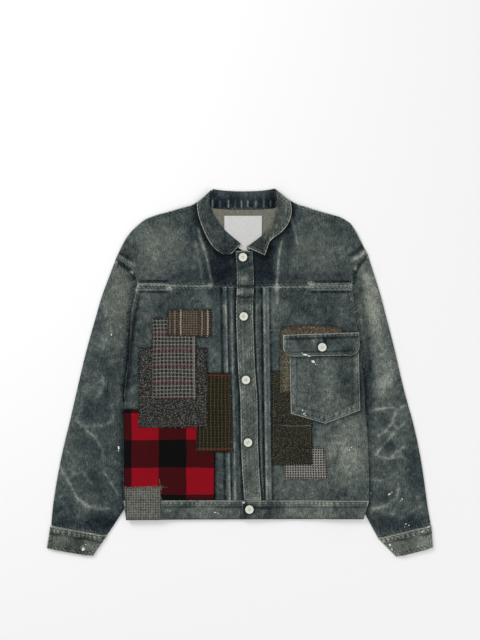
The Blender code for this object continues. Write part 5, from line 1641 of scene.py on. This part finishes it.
class JACKET_OT_handsewing(bpy.types.Operator):
    """Sew the patches on by hand and let their raw edges fray."""

    bl_idname = "jacket.handsewing"
    bl_label = "Hand sewing and frays"

    def execute(self, context):
        dark = thread_material("thread_black_brown", "#15130f")
        cream = thread_material("thread_cream", "#9d978b")
        grey = thread_material("thread_grey", "#5f5e57")
        black = []
        for seed, (node, pitch) in enumerate((("patch_striped_tweed", 3.6), ("patch_houndstooth", 5.0),
                                              ("patch_grey_tweed", 4.6), ("patch_brown_check", 5.0),
                                              ("patch_charcoal_tweed", 5.2), ("patch_open_check", 5.4),
                                              ("patch_brown_tweed", 5.0), ("patch_linen_check", 5.6))):
            black += overcast(node, BODY, pitch, 2.3, 0.8, seed=seed)
        black += running(inset_rows("patch_red_plaid", 1.4), BODY, 2.2, 2.0)
        thread_object("overcast_thread", black, 0.36, dark)
        pale = []
        for line in ([(-201, -48.8), (-140, -49.6), (-68, -48.4)], [(-93.4, 75), (-93.2, -62)],
                     [(84, -108), (116, -109.6), (148, -107.6)], [(-206, -236), (-164, -235)],
                     [(-164.5, -236), (-165, -300)], [(60, 86.2), (86, 86.0)]):
            pale += running([line], BODY, 2.6, 1.2, 0.2)
        pale += running(inset_rows("patch_grey_tweed", 3.0, lambda x, y: y < -20), BODY, 1.4, 3.2, 0.2)
        pale += running(inset_rows("patch_charcoal_tweed", 2.8), BODY, 1.3, 3.6, 0.2)
        thread_object("basting_thread", pale, 0.42, cream)
        strands = fringe("patch_linen_check", 60, 4.0, 3, lambda x, y: (y > -240) | (x > -166))
        strands += fringe("patch_open_check", 70, 5.0, 4, lambda x, y: (y < -212) | (x > 172))
        strands += fringe("patch_houndstooth", 46, 2.6, 5, lambda x, y: (y > 108) | (x < -176))
        strands += fringe("patch_grey_tweed", 60, 2.6, 6)
        strands += fringe("patch_striped_tweed", 26, 2.4, 7)
        for points in ([(-165, -217), (-163, -232), (-164, -253)], [(-191, -233), (-170, -232), (-148, -235)],
                       [(96, -218), (97, -226)], [(178, -217), (179.5, -238)], [(-163, -240), (-157, -230)]):
            line = np.array(points, float)
            tops = top_at(BODY, line)
            if tops.min() > 0:
                strands.append(np.column_stack([line, tops + 0.4]))
        strand_object("frayed_threads", strands, 0.26, cream)
        tufts = fringe("patch_brown_check", 46, 2.4, 8) + fringe("patch_charcoal_tweed", 60, 2.4, 9)
        tufts += fringe("patch_brown_tweed", 40, 2.2, 10)
        strand_object("dark_tufts", tufts, 0.24, grey)
        return {"FINISHED"}


# Specks of white paint: x, y, half length, half width, turn in degrees
PAINT = [
    (-248.5, -154, 2.2, 3.8, 10), (-249, -160, 1.0, 1.6, 0), (-263, 77.5, 1.6, 2.4, 0),
    (-321, -362, 3.6, 3.0, 40), (-316, -352, 1.4, 1.2, 0), (-306, -330, 1.6, 1.2, 0),
    (133, 37, 5.2, 1.9, -8), (141, 34, 4.4, 1.8, -12), (127, 40, 1.6, 1.0, 0), (150, 22.5, 4.2, 2.6, -35),
    (155, 17, 1.6, 0.9, -40), (128, -77, 1.6, 1.4, 0), (131, -84, 2.2, 1.5, 40), (134, -88, 1.2, 1.0, 0),
    (306, -249, 4.0, 1.5, 35), (311, -245, 1.6, 1.0, 0), (332, -259, 1.2, 2.2, 20), (329, -262, 0.9, 0.9, 0),
    (268, -247, 1.0, 1.0, 0), (340, -310, 1.6, 1.3, 0), (346, -313, 1.2, 1.4, 30), (337, -316, 1.0, 0.8, 0),
    (228, -153, 1.8, 1.2, 20), (224, -158, 1.2, 2.0, 0), (-51, -286.5, 3.0, 0.9, -8), (-45, -288, 1.6, 0.8, 0),
    (386, -316, 3.4, 1.4, 40), (390, -310, 1.6, 1.0, 0), (373, -326, 2.6, 1.2, 20), (7, -266, 3.4, 2.0, 15),
    (307, -353, 1.8, 3.2, 35), (311, -362, 1.4, 1.8, 30),
]


class JACKET_OT_paint(bpy.types.Operator):
    """Splash the small specks of white paint."""

    bl_idname = "jacket.paint"
    bl_label = "Paint specks"

    def execute(self, context):
        rng = np.random.default_rng(11)
        spots, faces = [], []
        for x, y, long, wide, turn in PAINT:
            below = top_at(BODY, [(x, y)])[0]
            if below < 0:
                raise RuntimeError(f"The paint speck at {x}, {y} is off the cloth")
            angle = math.radians(turn)
            base, parts = len(spots), 14
            ring = []
            for k in range(parts):
                phase = 2 * math.pi * k / parts
                reach = rng.uniform(0.72, 1.15)
                dx, dy = long * reach * math.cos(phase), wide * reach * math.sin(phase)
                ring.append((x + dx * math.cos(angle) - dy * math.sin(angle),
                             y + dx * math.sin(angle) + dy * math.cos(angle)))
            ring = np.array(ring)
            tops = np.maximum(top_at(BODY, ring), below - 1)
            for share, lift in ((1.0, -0.1), (0.9, 0.14), (0.45, 0.24)):
                for (px, py), z in zip(ring, tops):
                    spots.append((x + (px - x) * share, y + (py - y) * share, z + lift))
            spots.append((x, y, tops.mean() + 0.26))
            for row in (0, 1):
                for k in range(parts):
                    a, b = base + row * parts + k, base + row * parts + (k + 1) % parts
                    faces.append([a, b, b + parts, a + parts])
            faces += [[base + 2 * parts + k, base + 2 * parts + (k + 1) % parts, base + 3 * parts]
                      for k in range(parts)]
            faces.append([base + k for k in range(parts)][::-1])
        mesh = bpy.data.meshes.new("paint_specks")
        mesh.from_pydata((np.array(spots) * MM).tolist(), [], faces)
        mesh.materials.append(plain_material("paint_dried_white", linear("#dfe2e0"), 0.6))
        mesh.shade_smooth()
        made = bpy.data.objects.new("paint_specks", mesh)
        context.scene.collection.objects.link(made)
        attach(made, "root")
        return {"FINISHED"}


def turned_button():
    """A button modelled once: a turned disc with a dished middle, a soft rim and four holes."""
    bpy.ops.object.select_all(action="DESELECT")
    bpy.ops.mesh.primitive_cylinder_add(vertices=40, radius=8.5 * MM, depth=2.6 * MM, location=(0, 0, 1.3 * MM))
    disc = bpy.context.object
    bpy.ops.object.transform_apply(location=True, rotation=False, scale=False)
    bpy.ops.object.mode_set(mode="EDIT")
    bm = bmesh.from_edit_mesh(disc.data)
    for face in bm.faces:
        face.select = face.normal.z > 0.9
    bmesh.update_edit_mesh(disc.data)
    bpy.ops.mesh.inset(thickness=1.5 * MM, depth=0.0)
    bpy.ops.mesh.inset(thickness=0.9 * MM, depth=-0.45 * MM)
    bpy.ops.mesh.inset(thickness=2.4 * MM, depth=0.1 * MM)
    bpy.ops.object.mode_set(mode="OBJECT")
    bpy.ops.object.select_all(action="DESELECT")
    bpy.ops.mesh.primitive_cylinder_add(vertices=12, radius=0.95 * MM, depth=8 * MM,
                                        location=(1.7 * MM, 1.7 * MM, 0))
    drill = bpy.context.object
    bpy.ops.object.transform_apply(location=True, rotation=False, scale=False)
    drills = bmesh.new()
    for turn in range(4):
        hole = drill.data.copy()
        hole.transform(Matrix.Rotation(math.radians(90 * turn + 8), 4, "Z"))
        drills.from_mesh(hole)
        bpy.data.meshes.remove(hole)
    drills.to_mesh(drill.data)
    drills.free()
    bored = disc.modifiers.new("Holes", "BOOLEAN")
    bored.object = drill
    bored.operation = "DIFFERENCE"
    soft = disc.modifiers.new("Turned edges", "BEVEL")
    soft.width = 0.35 * MM
    soft.segments = 3
    soft.limit_method = "ANGLE"
    bpy.ops.object.select_all(action="DESELECT")
    disc.select_set(True)
    bpy.context.view_layer.objects.active = disc
    for modifier in ("Holes", "Turned edges"):
        bpy.ops.object.modifier_apply(modifier=modifier)
    bpy.ops.object.shade_smooth_by_angle(angle=math.radians(35))
    bpy.data.objects.remove(drill, do_unlink=True)
    return disc


class JACKET_OT_buttons(bpy.types.Operator):
    """Make the sew-through buttons and the thread that holds them."""

    bl_idname = "jacket.buttons"
    bl_label = "Buttons"

    def execute(self, context):
        cream = plain_material("button_cream_urea", colours().button, 0.38)
        thread = thread_material("thread_button_cream", "#dad7c8")
        master = turned_button()
        master.data.materials.append(cream)
        crosses = []
        for index, name in enumerate(sorted(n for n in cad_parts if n.startswith("button_"))):
            low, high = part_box(name)
            x, y = (low[0] + high[0]) / 2 / MM, (low[1] + high[1]) / 2 / MM
            around = [(x + dx, y + dy) for dx in (-6, 0, 6) for dy in (-6, 0, 6)]
            base = max(low[2] / MM, top_at(BODY, around).max() + 0.2)
            mesh = master.data.copy()
            mesh.transform(Matrix.Translation((x * MM, y * MM, base * MM))
                           @ Matrix.Rotation(math.radians(37 * index), 4, "Z"))
            made = bpy.data.objects.new(name + "_turned", mesh)
            context.scene.collection.objects.link(made)
            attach(made, "root")
            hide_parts(name)
            turn = math.radians(37 * index + 8)
            for start in (45, 135):
                for shift in (-0.35, 0.35):
                    angle = turn + math.radians(start)
                    dx, dy = 2.4 * math.cos(angle), 2.4 * math.sin(angle)
                    sx, sy = -shift * math.sin(angle), shift * math.cos(angle)
                    z = base + 2.15
                    crosses.append(((x + dx + sx, y + dy + sy, z), (x - dx + sx, y - dy + sy, z)))
        thread_object("button_thread", crosses, 0.32, thread)
        bpy.data.objects.remove(master, do_unlink=True)
        return {"FINISHED"}


class JACKET_OT_stage(bpy.types.Operator):
    """Lay a pale floor under the jacket, with soft lights and the camera above it."""

    bl_idname = "jacket.stage"
    bl_label = "Stage"

    def execute(self, context):
        scene = context.scene
        bpy.ops.object.select_all(action="DESELECT")
        bpy.ops.mesh.primitive_plane_add(size=6, location=(0, 0, -0.0008))
        floor = context.object
        floor.name = "studio_floor"
        paper = bpy.data.materials.new("white_paper")
        paper.use_nodes = True
        shader = paper.node_tree.nodes["Principled BSDF"]
        shader.inputs["Base Color"].default_value = (0.93, 0.93, 0.93, 1)
        shader.inputs["Roughness"].default_value = 0.95
        floor.data.materials.append(paper)
        world = bpy.data.worlds.new("soft_room")
        world.use_nodes = True
        world.node_tree.nodes["Background"].inputs[0].default_value = (1, 1, 1, 1)
        world.node_tree.nodes["Background"].inputs[1].default_value = 0.66
        scene.world = world
        for name, place, size, power in (("key", (-2.0, 1.7, 1.5), 1.0, 46), ("fill", (1.8, -1.4, 2.0), 1.8, 16)):
            light = bpy.data.lights.new(name, "AREA")
            light.size = size
            light.energy = power
            lamp = bpy.data.objects.new(name, light)
            lamp.location = place
            lamp.rotation_euler = (-Vector(place)).to_track_quat("-Z", "Y").to_euler()
            scene.collection.objects.link(lamp)
        view = bpy.data.cameras.new("camera")
        view.lens = 82.3
        view.sensor_width = 36
        camera = bpy.data.objects.new("camera", view)
        camera.location = (0, 0.1076, 3.0)
        scene.collection.objects.link(camera)
        scene.camera = camera
        scene.view_settings.view_transform = "Standard"
        return {"FINISHED"}


class JACKET_PT_panel(bpy.types.Panel):
    """Steps and settings of the jacket."""

    bl_idname = "JACKET_PT_panel"
    bl_label = "Mended Denim Jacket"
    bl_space_type = "VIEW_3D"
    bl_region_type = "UI"
    bl_category = "Jacket"

    def draw(self, context):
        for group in (context.scene.jacket_sizes, context.scene.jacket_colours):
            box = self.layout.box()
            for name in group.__annotations__:
                box.prop(group, name)
        for operator in OPERATORS:
            self.layout.operator(operator.bl_idname)


OPERATORS = (
    JACKET_OT_stage, JACKET_OT_body, JACKET_OT_bands, JACKET_OT_sleeves, JACKET_OT_collar,
    JACKET_OT_patches, JACKET_OT_pocket, JACKET_OT_label, JACKET_OT_topstitching, JACKET_OT_handsewing,
    JACKET_OT_paint, JACKET_OT_buttons,
)
CLASSES = (JacketSizes, JacketColours) + OPERATORS + (JACKET_PT_panel,)


def register():
    for item in CLASSES:
        bpy.utils.register_class(item)
    bpy.types.Scene.jacket_sizes = PointerProperty(type=JacketSizes)
    bpy.types.Scene.jacket_colours = PointerProperty(type=JacketColours)


def unregister():
    del bpy.types.Scene.jacket_sizes
    del bpy.types.Scene.jacket_colours
    for item in reversed(CLASSES):
        bpy.utils.unregister_class(item)


def main():
    register()
    bpy.ops.jacket.stage()
    bpy.ops.jacket.body()
    bpy.ops.jacket.bands()
    bpy.ops.jacket.sleeves()
    bpy.ops.jacket.collar()
    bpy.ops.jacket.patches()
    bpy.ops.jacket.pocket()
    bpy.ops.jacket.label()
    bpy.ops.jacket.topstitching()
    bpy.ops.jacket.handsewing()
    bpy.ops.jacket.paint()
    bpy.ops.jacket.buttons()


if __name__ == "__main__":
    main()
